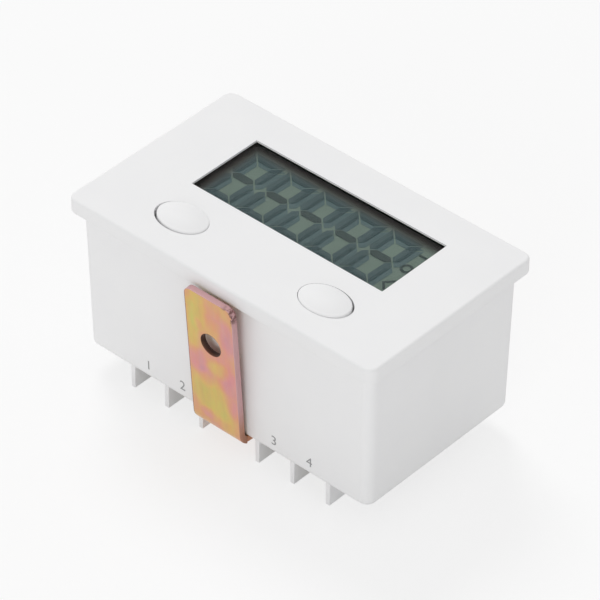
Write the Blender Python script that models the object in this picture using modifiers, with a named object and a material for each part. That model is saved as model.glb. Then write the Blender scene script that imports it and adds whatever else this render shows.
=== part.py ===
# Panel-mount digital counter: a shallow white bezel with a sunken liquid crystal window and two
# domed keys, a drafted rear housing with barrier fins between its screw terminals, and a bent
# zinc-plated strap that clamps it into a panel.
# Z points out of the display face, X runs along the five digits, Y points to the top of the digits.
# The model stands on its barrier fins at z = 0, with the origin under the middle of its outline.

import math

import bmesh
import bpy
from mathutils import Matrix, Vector

mm = 0.001

# Driving sizes of the bezel
bezel_length = 64.0 * mm
bezel_width = 38.0 * mm
bezel_thickness = 2.9 * mm
bezel_corner_radius = 1.7 * mm
bezel_top_fillet = 0.5 * mm
bezel_rim_fillet = 0.3 * mm
face_wall = 2.0 * mm
rebate_depth = 0.6 * mm

# Driving sizes of the rear housing, which stays inside the bezel's rim
rim_end_overhang = 1.5 * mm
rim_side_overhang = 1.5 * mm
body_length = bezel_length - 2 * rim_end_overhang
body_width = bezel_width - 2 * rim_side_overhang
body_depth = 30.05 * mm
body_draft = 0.45 * mm
body_corner_radius = 1.8 * mm
cavity_corner_radius = 1.3 * mm
body_rear_fillet = 0.8 * mm
wall = 1.8 * mm

# Barrier fins, which stand out behind the housing and part the terminals
fin_height = 4.15 * mm
fin_depth = 9.6 * mm
fin_root_thickness = 0.9 * mm
fin_tip_thickness = 0.8 * mm
fin_pitch = 7.45 * mm
fin_inset = 0.16 * mm
fin_count = 3
terminal_group_spacing = 27.1 * mm
terminal_centre_x = 0.6 * mm

# Keys, placed from the bezel's ends and front edge
left_key_inset = 17.26 * mm
right_key_inset = 16.5 * mm
key_front_inset = 8.12 * mm
key_half_length = 4.7 * mm
key_half_width = 3.2 * mm
key_hole_gap = 0.3 * mm
key_rise = 1.0 * mm
key_edge_rise = 0.25 * mm
key_flange_reach = 0.65 * mm
key_flange_thickness = 0.7 * mm
key_stem_radius = 1.6 * mm
key_stem_length = 0.6 * mm
key_travel = 0.5 * mm

# Window and display, between the bezel's edges and the keys
window_left_margin = 12.36 * mm
window_right_margin = 11.61 * mm
window_back_margin = 7.2 * mm
key_to_window = 3.97 * mm
window_front_margin = key_front_inset + key_half_width + key_hole_gap + key_to_window
window_length = bezel_length - window_left_margin - window_right_margin
window_width = bezel_width - window_back_margin - window_front_margin
window_lip = 0.4 * mm
glass_cover = 1.6 * mm
glass_cover_front = 1.3 * mm
glass_thickness = 0.5 * mm
film_thickness = 0.2 * mm
film_inset = 0.6 * mm
display_gap = 0.1 * mm
contact_ledge = 1.6 * mm
ledge_cover = 0.6 * mm

# Switches under the keys
switch_side = 6.0 * mm
switch_height = 3.3 * mm
switch_edge = 0.3 * mm
plunger_radius = 1.7 * mm
plunger_sunk = 1.1 * mm

# Circuit board, which fits inside the housing, its posts and its parts
board_end_clearance = 0.95 * mm
board_side_clearance = 0.85 * mm
board_length = body_length - 2 * wall - 2 * board_end_clearance
board_width = body_width - 2 * wall - 2 * board_side_clearance
board_thickness = 1.6 * mm
board_depth = 8.5 * mm
board_corner_radius = 1.5 * mm
post_radius = 1.9 * mm
post_inset = 3.1 * mm
board_screw_radius = 0.85 * mm
board_screw_length = 5.0 * mm
board_screw_head_radius = 1.7 * mm
board_screw_head_height = 1.1 * mm
frame_wall = 1.2 * mm
frame_peg_radius = 0.6 * mm
strip_thickness = 1.2 * mm
chip_side = 9.0 * mm
chip_height = 1.6 * mm
chip_edge = 0.5 * mm
chip_x = 1.4 * mm
crystal_radius = 1.0 * mm
crystal_length = 6.0 * mm
crystal_inset = 6.0 * mm
capacitor_radius = 2.5 * mm
capacitor_height = 5.5 * mm
capacitor_inset = 5.5 * mm
capacitor_edge = 0.4 * mm

# Lithium cell, half the length of a pen cell
cell_radius = 7.25 * mm
cell_length = 25.0 * mm
cell_edge = 0.6 * mm
cell_centre_x = 1.0 * mm
cell_depth = 18.6 * mm
cell_pole_radius = 2.6 * mm
cell_pole_height = 0.5 * mm
tab_width = 3.2 * mm
tab_thickness = 0.4 * mm
cradle_thickness = 1.5 * mm
cradle_spacing = 16.0 * mm
cradle_drop = 1.3 * mm

# Snap fit between the bezel's skirt and the housing
skirt_wall = 1.0 * mm
skirt_reach = 3.0 * mm
lug_length = 5.0 * mm
lug_height = 1.2 * mm
lug_reach = 0.7 * mm
lug_end_inset = 9.0 * mm

# Screw terminals
terminal_screw_radius = 1.45 * mm
terminal_screw_length = 8.2 * mm
terminal_head_radius = 2.55 * mm
terminal_head_height = 1.5 * mm
terminal_washer_radius = 2.65 * mm
terminal_washer_thickness = 0.4 * mm
plate_width = 5.6 * mm
plate_length = 8.3 * mm
plate_thickness = 0.7 * mm
plate_front_inset = 1.3 * mm
terminal_setback = 5.8 * mm
tail_width = 2.4 * mm
tail_height = 8.0 * mm
nut_side = 5.2 * mm
nut_thickness = 2.4 * mm
lead_radius = 0.6 * mm
lead_bow = 1.6 * mm

# Clamp strap, its screw, washer and insert
strap_width = 10.05 * mm
strap_thickness = 1.1 * mm
strap_centre_x = -0.12 * mm
strap_bend_radius = 1.8 * mm
strap_side_clearance = 0.75 * mm
strap_neck_inset = 0.4 * mm
strap_tip_above_rim = 0.5 * mm
strap_lean = math.radians(4.0)
strap_corner_radius = 1.3 * mm
strap_hole_radius = 2.1 * mm
strap_hole_below_tip = 9.65 * mm
strap_screw_radius = 1.45 * mm
strap_screw_length = 7.6 * mm
strap_head_radius = 2.9 * mm
strap_washer_radius = 3.2 * mm
strap_washer_thickness = 0.4 * mm
insert_radius = 2.4 * mm
insert_length = 4.2 * mm
boss_wall = 1.3 * mm

# Clearances shared by the pieces that fit each other
gap = 0.3 * mm
stack_gap = 0.2 * mm
overrun = 1.0 * mm
recess_depth = 0.8 * mm
recess_width = 0.9 * mm

# Shares of a piece's own size that shape its rounded and narrowed ends
head_crown_share = 0.45
screw_point_share = 0.8
lug_ramp_share = 0.7
dome_power = 2.4

# Roundness of the turned pieces and fillets, in facets
corner_segments = 8
inner_corner_segments = 4
fillet_segments = 6
round_segments = 24
key_segments = 40
bend_segments = 6

# Heights, worked out from the sizes above
rear_face_z = fin_height
face_z = rear_face_z + body_depth
rim_underside_z = face_z - bezel_thickness
housing_top_z = rim_underside_z + rebate_depth - gap
floor_z = rear_face_z + wall
board_top_z = face_z - board_depth
board_underside_z = board_top_z - board_thickness


def below_face(depth):
    return face_z - depth


def draft_at(z):
    """How far the housing's side has come in at height z."""
    return body_draft * (housing_top_z - z) / (housing_top_z - rear_face_z)


# Scene, materials and collections


def clear_scene():
    for old in list(bpy.data.objects):
        bpy.data.objects.remove(old, do_unlink=True)


def new_collection(name):
    made = bpy.data.collections.new(name)
    bpy.context.scene.collection.children.link(made)
    return made


def new_material(name, colour, roughness, metallic=0.0, alpha=1.0):
    made = bpy.data.materials.new(name)
    made.use_nodes = True
    shader = made.node_tree.nodes["Principled BSDF"]
    shader.inputs["Base Color"].default_value = (*colour, 1.0)
    shader.inputs["Roughness"].default_value = roughness
    shader.inputs["Metallic"].default_value = metallic
    shader.inputs["Alpha"].default_value = alpha
    made.diffuse_color = (*colour, alpha)
    return made


def new_object(name, mesh, material=None, smooth_angle=None):
    """Puts a mesh in the counter's collection as one named sub-part."""
    made = bpy.data.objects.new(name, mesh)
    counter_parts.objects.link(made)
    if material is not None:
        mesh.materials.append(material)
    if smooth_angle is not None:
        mesh.shade_smooth()
        mesh.set_sharp_from_angle(angle=smooth_angle)
    return made


def new_tool(name, mesh):
    """Puts a mesh in the cutters' collection, out of the render."""
    made = bpy.data.objects.new(name, mesh)
    cutters.objects.link(made)
    made.display_type = "WIRE"
    made.hide_render = True
    return made


def mesh_from(bm, name):
    mesh = bpy.data.meshes.new(name)
    bm.normal_update()
    bm.to_mesh(mesh)
    bm.free()
    return mesh


def combine(target, tool, operation):
    step = target.modifiers.new(tool.name, "BOOLEAN")
    step.solver = "EXACT"
    step.operation = operation
    step.object = tool


# Shapes added to a bmesh


def add_box(bm, low, high):
    size = Vector(high) - Vector(low)
    centre = (Vector(high) + Vector(low)) / 2
    place = Matrix.Translation(centre) @ Matrix.Diagonal((*size, 1.0))
    return bmesh.ops.create_cube(bm, size=1.0, matrix=place)["verts"]


def add_block(bm, centre, length, width, bottom, top):
    """A box given by the middle of its outline, its sides and its two heights."""
    low = (centre[0] - length / 2, centre[1] - width / 2, bottom)
    high = (centre[0] + length / 2, centre[1] + width / 2, top)
    return add_box(bm, low, high)


def add_cylinder(bm, centre, radius, bottom, top, segments=round_segments):
    place = Matrix.Translation((centre[0], centre[1], (bottom + top) / 2))
    made = bmesh.ops.create_cone(
        bm,
        cap_ends=True,
        segments=segments,
        radius1=radius,
        radius2=radius,
        depth=top - bottom,
        matrix=place,
    )
    return made["verts"]


def add_oval(bm, centre, half_length, half_width, bottom, top):
    """An upright oval cylinder, longer along X."""
    verts = add_cylinder(bm, (0.0, 0.0), half_length, bottom, top, key_segments)
    bmesh.ops.scale(bm, verts=verts, vec=(1.0, half_width / half_length, 1.0))
    bmesh.ops.translate(bm, verts=verts, vec=(centre[0], centre[1], 0.0))
    return verts


def edges_of(verts):
    return {edge for vert in verts for edge in vert.link_edges}


def is_upright(edge):
    run = edge.verts[1].co - edge.verts[0].co
    return abs(run.z) > abs(run.x) + abs(run.y)


def bevel(bm, edges, radius, segments):
    return bmesh.ops.bevel(
        bm,
        geom=list(edges),
        offset=radius,
        offset_type="OFFSET",
        affect="EDGES",
        segments=segments,
        profile=0.5,
        clamp_overlap=True,
    )


def rim_edges(bm, height):
    """The outline edges that lie flat at one height."""
    level = abs(height) * 1e-4
    found = []
    for edge in bm.edges:
        flat = all(abs(vert.co.z - height) < level for vert in edge.verts)
        tilts = {round(face.normal.z) for face in edge.link_faces}
        if flat and len(tilts) > 1:
            found.append(edge)
    return found


def rounded_block(
    centre, length, width, bottom, top, corner_radius, draft=0.0, segments=inner_corner_segments
):
    """A block with rounded upright corners, narrower by the draft at its bottom."""
    bm = bmesh.new()
    verts = add_block(bm, centre, length, width, bottom, top)
    for vert in verts:
        if vert.co.z < (bottom + top) / 2:
            vert.co.x -= math.copysign(draft, vert.co.x - centre[0])
            vert.co.y -= math.copysign(draft, vert.co.y - centre[1])
    upright = [edge for edge in bm.edges if is_upright(edge)]
    bevel(bm, upright, corner_radius, segments)
    bm.normal_update()
    return bm


def turned(name, profile, centre, material, steps=round_segments):
    """A round piece, from a profile that runs down its outer side, given as (radius, height)."""
    bm = bmesh.new()
    points = [bm.verts.new((radius, 0.0, height)) for radius, height in profile]
    for upper, lower in zip(points, points[1:]):
        bm.edges.new((upper, lower))
    made = new_object(name, mesh_from(bm, name), material)
    made.location = (centre[0], centre[1], 0.0)
    spin = made.modifiers.new("turn", "SCREW")
    spin.axis = "Z"
    spin.angle = math.tau
    spin.steps = steps
    spin.render_steps = steps
    spin.use_merge_vertices = True
    spin.merge_threshold = display_gap / 10
    spin.use_smooth_shade = True
    return made


def ring(name, centre, outer, inner, bottom, top, material):
    bm = bmesh.new()
    add_cylinder(bm, centre, outer, bottom, top)
    made = new_object(name, mesh_from(bm, name), material, math.radians(40))
    bore = bmesh.new()
    add_cylinder(bore, centre, inner, bottom - overrun, top + overrun)
    combine(made, new_tool(name + "_bore", mesh_from(bore, name + "_bore")), "DIFFERENCE")
    return made


def cross_recess(screw, centre, head_bottom):
    """The crossed driver slots in a screw head that faces down."""
    bm = bmesh.new()
    reach = 4 * recess_width
    top = head_bottom + recess_depth
    add_block(bm, centre, reach, recess_width, head_bottom - overrun, top)
    tool = new_tool(screw.name + "_slot_a", mesh_from(bm, screw.name + "_slot_a"))
    combine(screw, tool, "DIFFERENCE")
    bm = bmesh.new()
    add_block(bm, centre, recess_width, reach, head_bottom - overrun, top)
    tool = new_tool(screw.name + "_slot_b", mesh_from(bm, screw.name + "_slot_b"))
    combine(screw, tool, "DIFFERENCE")


def pan_screw(name, centre, shank, length, head, head_height, head_bottom, material):
    """A pan-head screw that points up, with its rounded head at the bottom."""
    head_top = head_bottom + head_height
    crown = head_height * head_crown_share
    tip = head_top + length
    point = shank * screw_point_share
    profile = [(0.0, tip), (point, tip), (shank, tip - 2 * (shank - point))]
    profile += [(shank, head_top), (head, head_top)]
    for turn in range(fillet_segments + 1):
        angle = math.pi / 2 * turn / fillet_segments
        radius = head - crown * (1 - math.cos(angle))
        profile.append((radius, head_bottom + crown * (1 - math.sin(angle))))
    profile.append((0.0, head_bottom))
    made = turned(name, profile, centre, material)
    cross_recess(made, (0.0, 0.0), head_bottom)
    for step in made.modifiers:
        if step.type == "BOOLEAN":
            step.object.location = made.location
    return made


# Places that several pieces share

key_row_y = key_front_inset - bezel_width / 2
key_places = {
    "left": (left_key_inset - bezel_length / 2, key_row_y),
    "right": (bezel_length / 2 - right_key_inset, key_row_y),
}
window_centre_x = (window_left_margin - window_right_margin) / 2
window_centre_y = (window_front_margin - window_back_margin) / 2
window_centre = (window_centre_x, window_centre_y)
strap_centre = (strap_centre_x, 0.0)

post_x = board_length / 2 - post_inset
post_y = board_width / 2 - post_inset
post_places = [(side * post_x, end * post_y) for side in (-1, 1) for end in (-1, 1)]

inner_length = body_length - 2 * wall
inner_width = body_width - 2 * wall
skirt_length = inner_length - 2 * gap
skirt_width = inner_width - 2 * gap
skirt_bottom_z = rim_underside_z - skirt_reach
skirt_corner_radius = cavity_corner_radius - gap
lug_z = skirt_bottom_z + lug_height
lug_x = bezel_length / 2 - lug_end_inset

group_centres = [terminal_centre_x + side * terminal_group_spacing / 2 for side in (-1, 1)]
fin_places = []
bay_places = []
for group_x in group_centres:
    for index in range(fin_count):
        fin_places.append(group_x + (index - (fin_count - 1) / 2) * fin_pitch)
    for index in range(fin_count - 1):
        bay_places.append(group_x + (index - (fin_count - 2) / 2) * fin_pitch)

fin_front_y = -(body_width / 2 - body_draft) + fin_inset
plate_front_y = fin_front_y + plate_front_inset
plate_back_y = plate_front_y + plate_length
terminal_y = fin_front_y + terminal_setback
terminal_places = [(bay_x, terminal_y) for bay_x in bay_places]

plate_top_z = rear_face_z - gap
plate_bottom_z = plate_top_z - plate_thickness
washer_top_z = plate_bottom_z - stack_gap
washer_bottom_z = washer_top_z - terminal_washer_thickness
terminal_head_top_z = washer_bottom_z - stack_gap
terminal_head_bottom_z = terminal_head_top_z - terminal_head_height

# The display's layers, from the window down
glass_left_x = window_centre_x - window_length / 2 - glass_cover
glass_right_x = window_centre_x + window_length / 2 + glass_cover
glass_front_y = window_centre_y - window_width / 2 - glass_cover_front
rear_glass_back_y = window_centre_y + window_width / 2 + ledge_cover
glass_back_y = rear_glass_back_y + contact_ledge
polarizer_top_z = below_face(window_lip) - display_gap
front_glass_top_z = polarizer_top_z - film_thickness - display_gap
front_glass_bottom_z = front_glass_top_z - glass_thickness
rear_glass_top_z = front_glass_bottom_z - display_gap
rear_glass_bottom_z = rear_glass_top_z - glass_thickness
reflector_top_z = rear_glass_bottom_z - display_gap
reflector_bottom_z = reflector_top_z - film_thickness

# The cell lies against the housing's back wall, on its cradle ribs
cell_z = below_face(cell_depth)
cell_y = body_width / 2 - draft_at(cell_z) - wall - 2 * gap - cell_radius
cell_left_x = cell_centre_x - cell_length / 2
cell_right_x = cell_centre_x + cell_length / 2
chip_y = cell_y - cell_radius - gap - chip_side / 2
crystal_x = crystal_inset - board_length / 2
capacitor_x = board_length / 2 - capacitor_inset

boss_top_z = floor_z + insert_length - wall + gap
strap_top_z = rear_face_z - gap
strap_bottom_z = strap_top_z - strap_thickness
strap_washer_top_z = strap_bottom_z - stack_gap
strap_washer_bottom_z = strap_washer_top_z - strap_washer_thickness
strap_head_top_z = strap_washer_bottom_z - stack_gap
strap_tip_z = rim_underside_z + strap_tip_above_rim
strap_hole_z = strap_tip_z - strap_hole_below_tip


# Casing


def make_front_bezel():
    """The face with its rim, the rebate that takes the housing, window, key holes, posts and skirt."""
    bm = rounded_block(
        (0.0, 0.0),
        bezel_length,
        bezel_width,
        rim_underside_z,
        face_z,
        bezel_corner_radius,
        segments=corner_segments,
    )
    bevel(bm, rim_edges(bm, face_z), bezel_top_fillet, fillet_segments)
    bevel(bm, rim_edges(bm, rim_underside_z), bezel_rim_fillet, 2)
    bezel = new_object("front_bezel", mesh_from(bm, "front_bezel"), white_plastic, math.radians(35))

    inside = rounded_block(
        (0.0, 0.0),
        skirt_length - 2 * skirt_wall,
        skirt_width - 2 * skirt_wall,
        rim_underside_z - overrun,
        below_face(face_wall),
        skirt_corner_radius / 2,
    )
    combine(bezel, new_tool("bezel_inside", mesh_from(inside, "bezel_inside")), "DIFFERENCE")

    rebate = rounded_block(
        (0.0, 0.0),
        body_length + 2 * stack_gap,
        body_width + 2 * stack_gap,
        rim_underside_z - overrun,
        rim_underside_z + rebate_depth,
        body_corner_radius + stack_gap,
        segments=corner_segments,
    )
    combine(bezel, new_tool("housing_rebate", mesh_from(rebate, "housing_rebate")), "DIFFERENCE")

    skirt = rounded_block(
        (0.0, 0.0),
        skirt_length,
        skirt_width,
        skirt_bottom_z,
        rim_underside_z + overrun,
        skirt_corner_radius,
    )
    skirt_tool = new_tool("bezel_skirt", mesh_from(skirt, "bezel_skirt"))
    hollow = rounded_block(
        (0.0, 0.0),
        skirt_length - 2 * skirt_wall,
        skirt_width - 2 * skirt_wall,
        skirt_bottom_z - overrun,
        rim_underside_z + 2 * overrun,
        skirt_corner_radius / 2,
    )
    hollow_tool = new_tool("bezel_skirt_hollow", mesh_from(hollow, "bezel_skirt_hollow"))
    combine(skirt_tool, hollow_tool, "DIFFERENCE")
    combine(bezel, skirt_tool, "UNION")

    posts = bmesh.new()
    for place in post_places:
        add_cylinder(posts, place, post_radius, board_top_z + gap, below_face(face_wall / 2), 16)
    combine(bezel, new_tool("board_posts", mesh_from(posts, "board_posts")), "UNION")

    lugs = bmesh.new()
    for side in (-1, 1):
        for end in (-1, 1):
            root_y = side * (skirt_width / 2 - skirt_wall / 2)
            tip_y = side * (skirt_width / 2 + lug_reach)
            low = (end * lug_x - lug_length / 2, min(root_y, tip_y), lug_z - lug_height / 2)
            high = (end * lug_x + lug_length / 2, max(root_y, tip_y), lug_z + lug_height / 2)
            verts = add_box(lugs, low, high)
            for vert in verts:
                outer = abs(vert.co.y) > skirt_width / 2
                if outer and vert.co.z < lug_z:
                    vert.co.y -= side * lug_reach * lug_ramp_share
    combine(bezel, new_tool("snap_lugs", mesh_from(lugs, "snap_lugs")), "UNION")

    openings = bmesh.new()
    add_block(
        openings, window_centre, window_length, window_width, below_face(face_wall), face_z + overrun
    )
    combine(bezel, new_tool("window_opening", mesh_from(openings, "window_opening")), "DIFFERENCE")

    pocket = bmesh.new()
    low = (glass_left_x - gap, glass_front_y - gap, below_face(face_wall) - overrun)
    high = (glass_right_x + gap, glass_back_y + gap, below_face(window_lip))
    add_box(pocket, low, high)
    combine(bezel, new_tool("display_pocket", mesh_from(pocket, "display_pocket")), "DIFFERENCE")

    holes = bmesh.new()
    for place in key_places.values():
        add_oval(
            holes,
            place,
            key_half_length + key_hole_gap,
            key_half_width + key_hole_gap,
            below_face(face_wall) - overrun,
            face_z + overrun,
        )
    for place in post_places:
        add_cylinder(
            holes,
            place,
            board_screw_radius + gap,
            board_top_z - overrun,
            board_top_z + gap + board_screw_length - board_thickness,
            12,
        )
    combine(bezel, new_tool("bezel_holes", mesh_from(holes, "bezel_holes")), "DIFFERENCE")

    notches = bmesh.new()
    notch_half = key_half_length + key_flange_reach + gap
    for key_x, key_y in key_places.values():
        low = (key_x - notch_half, -skirt_width / 2 - gap, skirt_bottom_z - overrun)
        high = (key_x + notch_half, key_y, below_face(face_wall))
        add_box(notches, low, high)
    combine(bezel, new_tool("key_notches", mesh_from(notches, "key_notches")), "DIFFERENCE")
    return bezel


def add_fin(bm, fin_x):
    """One barrier fin, thinner towards its tip."""
    low = (fin_x - fin_root_thickness / 2, fin_front_y, 0.0)
    high = (fin_x + fin_root_thickness / 2, fin_front_y + fin_depth, rear_face_z + wall / 2)
    for vert in add_box(bm, low, high):
        if vert.co.z < rear_face_z / 2:
            vert.co.x = fin_x + math.copysign(fin_tip_thickness / 2, vert.co.x - fin_x)


def make_rear_housing():
    """The drafted box with its fins, screw boss, cell cradle and terminal openings."""
    outer = rounded_block(
        (0.0, 0.0),
        body_length,
        body_width,
        rear_face_z,
        housing_top_z,
        body_corner_radius,
        body_draft,
        corner_segments,
    )
    bevel(outer, rim_edges(outer, rear_face_z), body_rear_fillet, 3)
    housing = new_object("rear_housing", mesh_from(outer, "rear_housing"), white_plastic, math.radians(35))

    cavity = rounded_block(
        (0.0, 0.0),
        inner_length,
        inner_width,
        floor_z,
        housing_top_z + overrun,
        cavity_corner_radius,
        draft_at(floor_z),
    )
    combine(housing, new_tool("housing_cavity", mesh_from(cavity, "housing_cavity")), "DIFFERENCE")

    fins = bmesh.new()
    for fin_x in fin_places:
        add_fin(fins, fin_x)
    combine(housing, new_tool("barrier_fins", mesh_from(fins, "barrier_fins")), "UNION")

    inner = bmesh.new()
    for side in (-1, 1):
        rib_x = cell_centre_x + side * cradle_spacing / 2
        low = (rib_x - cradle_thickness / 2, cell_y - cell_radius, floor_z - wall / 2)
        back_y = body_width / 2 - draft_at(floor_z) - wall / 2
        high = (rib_x + cradle_thickness / 2, back_y, cell_z - cradle_drop)
        add_box(inner, low, high)
    boss_bottom_z = floor_z - wall / 2
    add_cylinder(inner, strap_centre, insert_radius + gap + boss_wall, boss_bottom_z, boss_top_z)
    combine(housing, new_tool("cradle_and_boss", mesh_from(inner, "cradle_and_boss")), "UNION")

    bed = bmesh.new()
    bmesh.ops.create_cone(
        bed,
        cap_ends=True,
        segments=round_segments,
        radius1=cell_radius + gap,
        radius2=cell_radius + gap,
        depth=cell_length,
        matrix=Matrix.Translation((cell_centre_x, cell_y, cell_z)) @ Matrix.Rotation(math.pi / 2, 4, "Y"),
    )
    combine(housing, new_tool("cell_bed", mesh_from(bed, "cell_bed")), "DIFFERENCE")

    cuts = bmesh.new()
    hole_bottom_z = rear_face_z - overrun
    for place in terminal_places:
        add_cylinder(cuts, place, terminal_screw_radius + gap, hole_bottom_z, floor_z + overrun, 16)
        low = (place[0] - tail_width / 2 - gap, plate_back_y - plate_thickness - gap, hole_bottom_z)
        high = (place[0] + tail_width / 2 + gap, plate_back_y + gap, floor_z + overrun)
        add_box(cuts, low, high)
    add_cylinder(cuts, strap_centre, insert_radius + gap, floor_z - wall / 2, boss_top_z + overrun)
    for side in (-1, 1):
        for end in (-1, 1):
            low_y = inner_width / 2 - gap
            high_y = skirt_width / 2 + lug_reach + gap
            low = (end * lug_x - lug_length / 2 - gap, low_y, lug_z - lug_height / 2 - gap)
            high = (end * lug_x + lug_length / 2 + gap, high_y, lug_z + lug_height / 2 + gap)
            verts = add_box(cuts, low, high)
            for vert in verts:
                vert.co.y *= side
            if side < 0:
                bmesh.ops.reverse_faces(cuts, faces=list({f for v in verts for f in v.link_faces}))
    combine(housing, new_tool("housing_cuts", mesh_from(cuts, "housing_cuts")), "DIFFERENCE")

    bore = bmesh.new()
    add_cylinder(bore, strap_centre, strap_screw_radius + gap, rear_face_z - overrun, floor_z + overrun, 16)
    combine(housing, new_tool("strap_screw_bore", mesh_from(bore, "strap_screw_bore")), "DIFFERENCE")
    return housing


# Display


def sheet(name, left, right, front, back, bottom, top, material):
    bm = bmesh.new()
    add_box(bm, (left, front, bottom), (right, back, top))
    return new_object(name, mesh_from(bm, name), material)


def make_display():
    """Two glass plates with their films, the frame under them and the contact strip."""
    sheet(
        "lcd_polarizer",
        glass_left_x + film_inset,
        glass_right_x - film_inset,
        glass_front_y + film_inset,
        rear_glass_back_y,
        polarizer_top_z - film_thickness,
        polarizer_top_z,
        film_grey,
    )
    sheet(
        "lcd_front_glass",
        glass_left_x,
        glass_right_x,
        glass_front_y,
        glass_back_y,
        front_glass_bottom_z,
        front_glass_top_z,
        clear_glass,
    )
    sheet(
        "lcd_rear_glass",
        glass_left_x,
        glass_right_x,
        glass_front_y,
        rear_glass_back_y,
        rear_glass_bottom_z,
        rear_glass_top_z,
        clear_glass,
    )
    sheet(
        "lcd_reflector",
        glass_left_x + film_inset,
        glass_right_x - film_inset,
        glass_front_y + film_inset,
        rear_glass_back_y - film_inset,
        reflector_bottom_z,
        reflector_top_z,
        film_green,
    )
    make_display_frame()
    sheet(
        "elastomer_strip",
        glass_left_x + film_inset,
        glass_right_x - film_inset,
        glass_back_y - strip_thickness,
        glass_back_y,
        board_top_z + gap,
        front_glass_bottom_z - gap,
        black_rubber,
    )


def frame_peg_places():
    inset = frame_wall / 2
    front = glass_front_y + inset
    back = rear_glass_back_y - inset
    return [(x, y) for x in (glass_left_x + inset, glass_right_x - inset) for y in (front, back)]


def make_display_frame():
    """A four-sided frame that stands on the board and carries the glass."""
    centre = ((glass_left_x + glass_right_x) / 2, (glass_front_y + rear_glass_back_y) / 2)
    length = glass_right_x - glass_left_x
    width = rear_glass_back_y - glass_front_y
    bottom = board_top_z + gap
    top = reflector_bottom_z - display_gap
    bm = bmesh.new()
    add_block(bm, centre, length, width, bottom, top)
    frame = new_object("lcd_frame", mesh_from(bm, "lcd_frame"), black_plastic)
    hollow = bmesh.new()
    add_block(
        hollow,
        centre,
        length - 2 * frame_wall,
        width - 2 * frame_wall,
        bottom - overrun,
        top + overrun,
    )
    combine(frame, new_tool("frame_opening", mesh_from(hollow, "frame_opening")), "DIFFERENCE")
    pegs = bmesh.new()
    for place in frame_peg_places():
        add_cylinder(pegs, place, frame_peg_radius, board_underside_z, bottom + overrun, 12)
    combine(frame, new_tool("frame_pegs", mesh_from(pegs, "frame_pegs")), "UNION")


# Circuit board and what it carries


def make_circuit_board():
    bm = rounded_block(
        (0.0, 0.0), board_length, board_width, board_underside_z, board_top_z, board_corner_radius
    )
    board = new_object("circuit_board", mesh_from(bm, "circuit_board"), board_green, math.radians(35))
    holes = bmesh.new()
    low = board_underside_z - overrun
    high = board_top_z + overrun
    for place in post_places:
        add_cylinder(holes, place, board_screw_radius + gap, low, high, 12)
    for place in frame_peg_places():
        add_cylinder(holes, place, frame_peg_radius + gap, low, high, 12)
    combine(board, new_tool("board_holes", mesh_from(holes, "board_holes")), "DIFFERENCE")


def make_board_screws():
    """The four small screws that hold the board to the bezel's posts."""
    head_top = board_underside_z - gap
    tip = head_top + board_screw_length
    head_bottom = head_top - board_screw_head_height
    profile = [
        (0.0, tip),
        (board_screw_radius, tip - board_screw_radius),
        (board_screw_radius, head_top),
        (board_screw_head_radius, head_top),
        (board_screw_head_radius, head_top - board_screw_head_height / 2),
        (board_screw_head_radius / 2, head_bottom),
        (0.0, head_bottom),
    ]
    for number, place in enumerate(post_places, start=1):
        turned("board_screw_%d" % number, profile, place, steel, 12)


def make_key(side):
    """A domed oval cap with its flange and stem, and the switch it presses."""
    place = key_places[side]
    flange_top = below_face(face_wall) - gap
    flange_bottom = flange_top - key_flange_thickness
    stem_bottom = flange_bottom - key_stem_length
    edge_z = face_z + key_edge_rise
    dome = key_rise - key_edge_rise
    profile = []
    steps = 6
    for index in range(steps + 1):
        share = index / steps
        profile.append((key_half_length * share, edge_z + dome * (1 - share**dome_power)))
    flange_half_length = key_half_length + key_flange_reach
    profile += [
        (key_half_length, flange_top),
        (flange_half_length, flange_top),
        (flange_half_length, flange_bottom),
        (0.0, flange_bottom),
    ]
    bm = bmesh.new()
    points = [bm.verts.new((reach, 0.0, height)) for reach, height in profile]
    for upper, lower in zip(points, points[1:]):
        bm.edges.new((upper, lower))
    bmesh.ops.spin(
        bm,
        geom=bm.verts[:] + bm.edges[:],
        cent=(0.0, 0.0, 0.0),
        axis=(0.0, 0.0, 1.0),
        angle=math.tau,
        steps=key_segments,
        use_merge=True,
    )
    bmesh.ops.remove_doubles(bm, verts=bm.verts, dist=display_gap / 10)
    slimmer = key_half_length - key_half_width
    for vert in bm.verts:
        reach = math.hypot(vert.co.x, vert.co.y)
        if reach > key_half_length:
            vert.co.y *= (reach - slimmer) / reach
        else:
            vert.co.y *= key_half_width / key_half_length
    bmesh.ops.translate(bm, verts=bm.verts, vec=(place[0], place[1], 0.0))
    bmesh.ops.recalc_face_normals(bm, faces=bm.faces)
    name = side + "_button"
    cap = new_object(name, mesh_from(bm, name), white_plastic, math.radians(35))
    stem = bmesh.new()
    stem_top = flange_bottom + key_flange_thickness / 2
    add_cylinder(stem, place, key_stem_radius, stem_bottom, stem_top)
    combine(cap, new_tool(side + "_key_stem", mesh_from(stem, side + "_key_stem")), "UNION")

    body_bottom = board_top_z + gap
    body_top = body_bottom + switch_height
    bm = bmesh.new()
    verts = add_block(bm, place, switch_side, switch_side, body_bottom, body_top)
    bevel(bm, [edge for edge in edges_of(verts) if is_upright(edge)], switch_edge, 1)
    body = new_object(side + "_switch_body", mesh_from(bm, side + "_switch_body"), black_plastic)
    well = bmesh.new()
    well_bottom = body_top - plunger_sunk - key_travel - gap
    add_cylinder(well, place, plunger_radius + gap, well_bottom, body_top + overrun)
    combine(body, new_tool(side + "_switch_well", mesh_from(well, side + "_switch_well")), "DIFFERENCE")

    plunger_top = stem_bottom - gap
    plunger_bottom = body_top - plunger_sunk
    rod = [
        (0.0, plunger_top),
        (plunger_radius - switch_edge, plunger_top),
        (plunger_radius, plunger_top - switch_edge),
        (plunger_radius, plunger_bottom),
        (0.0, plunger_bottom),
    ]
    turned(side + "_switch_plunger", rod, place, black_plastic)


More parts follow.
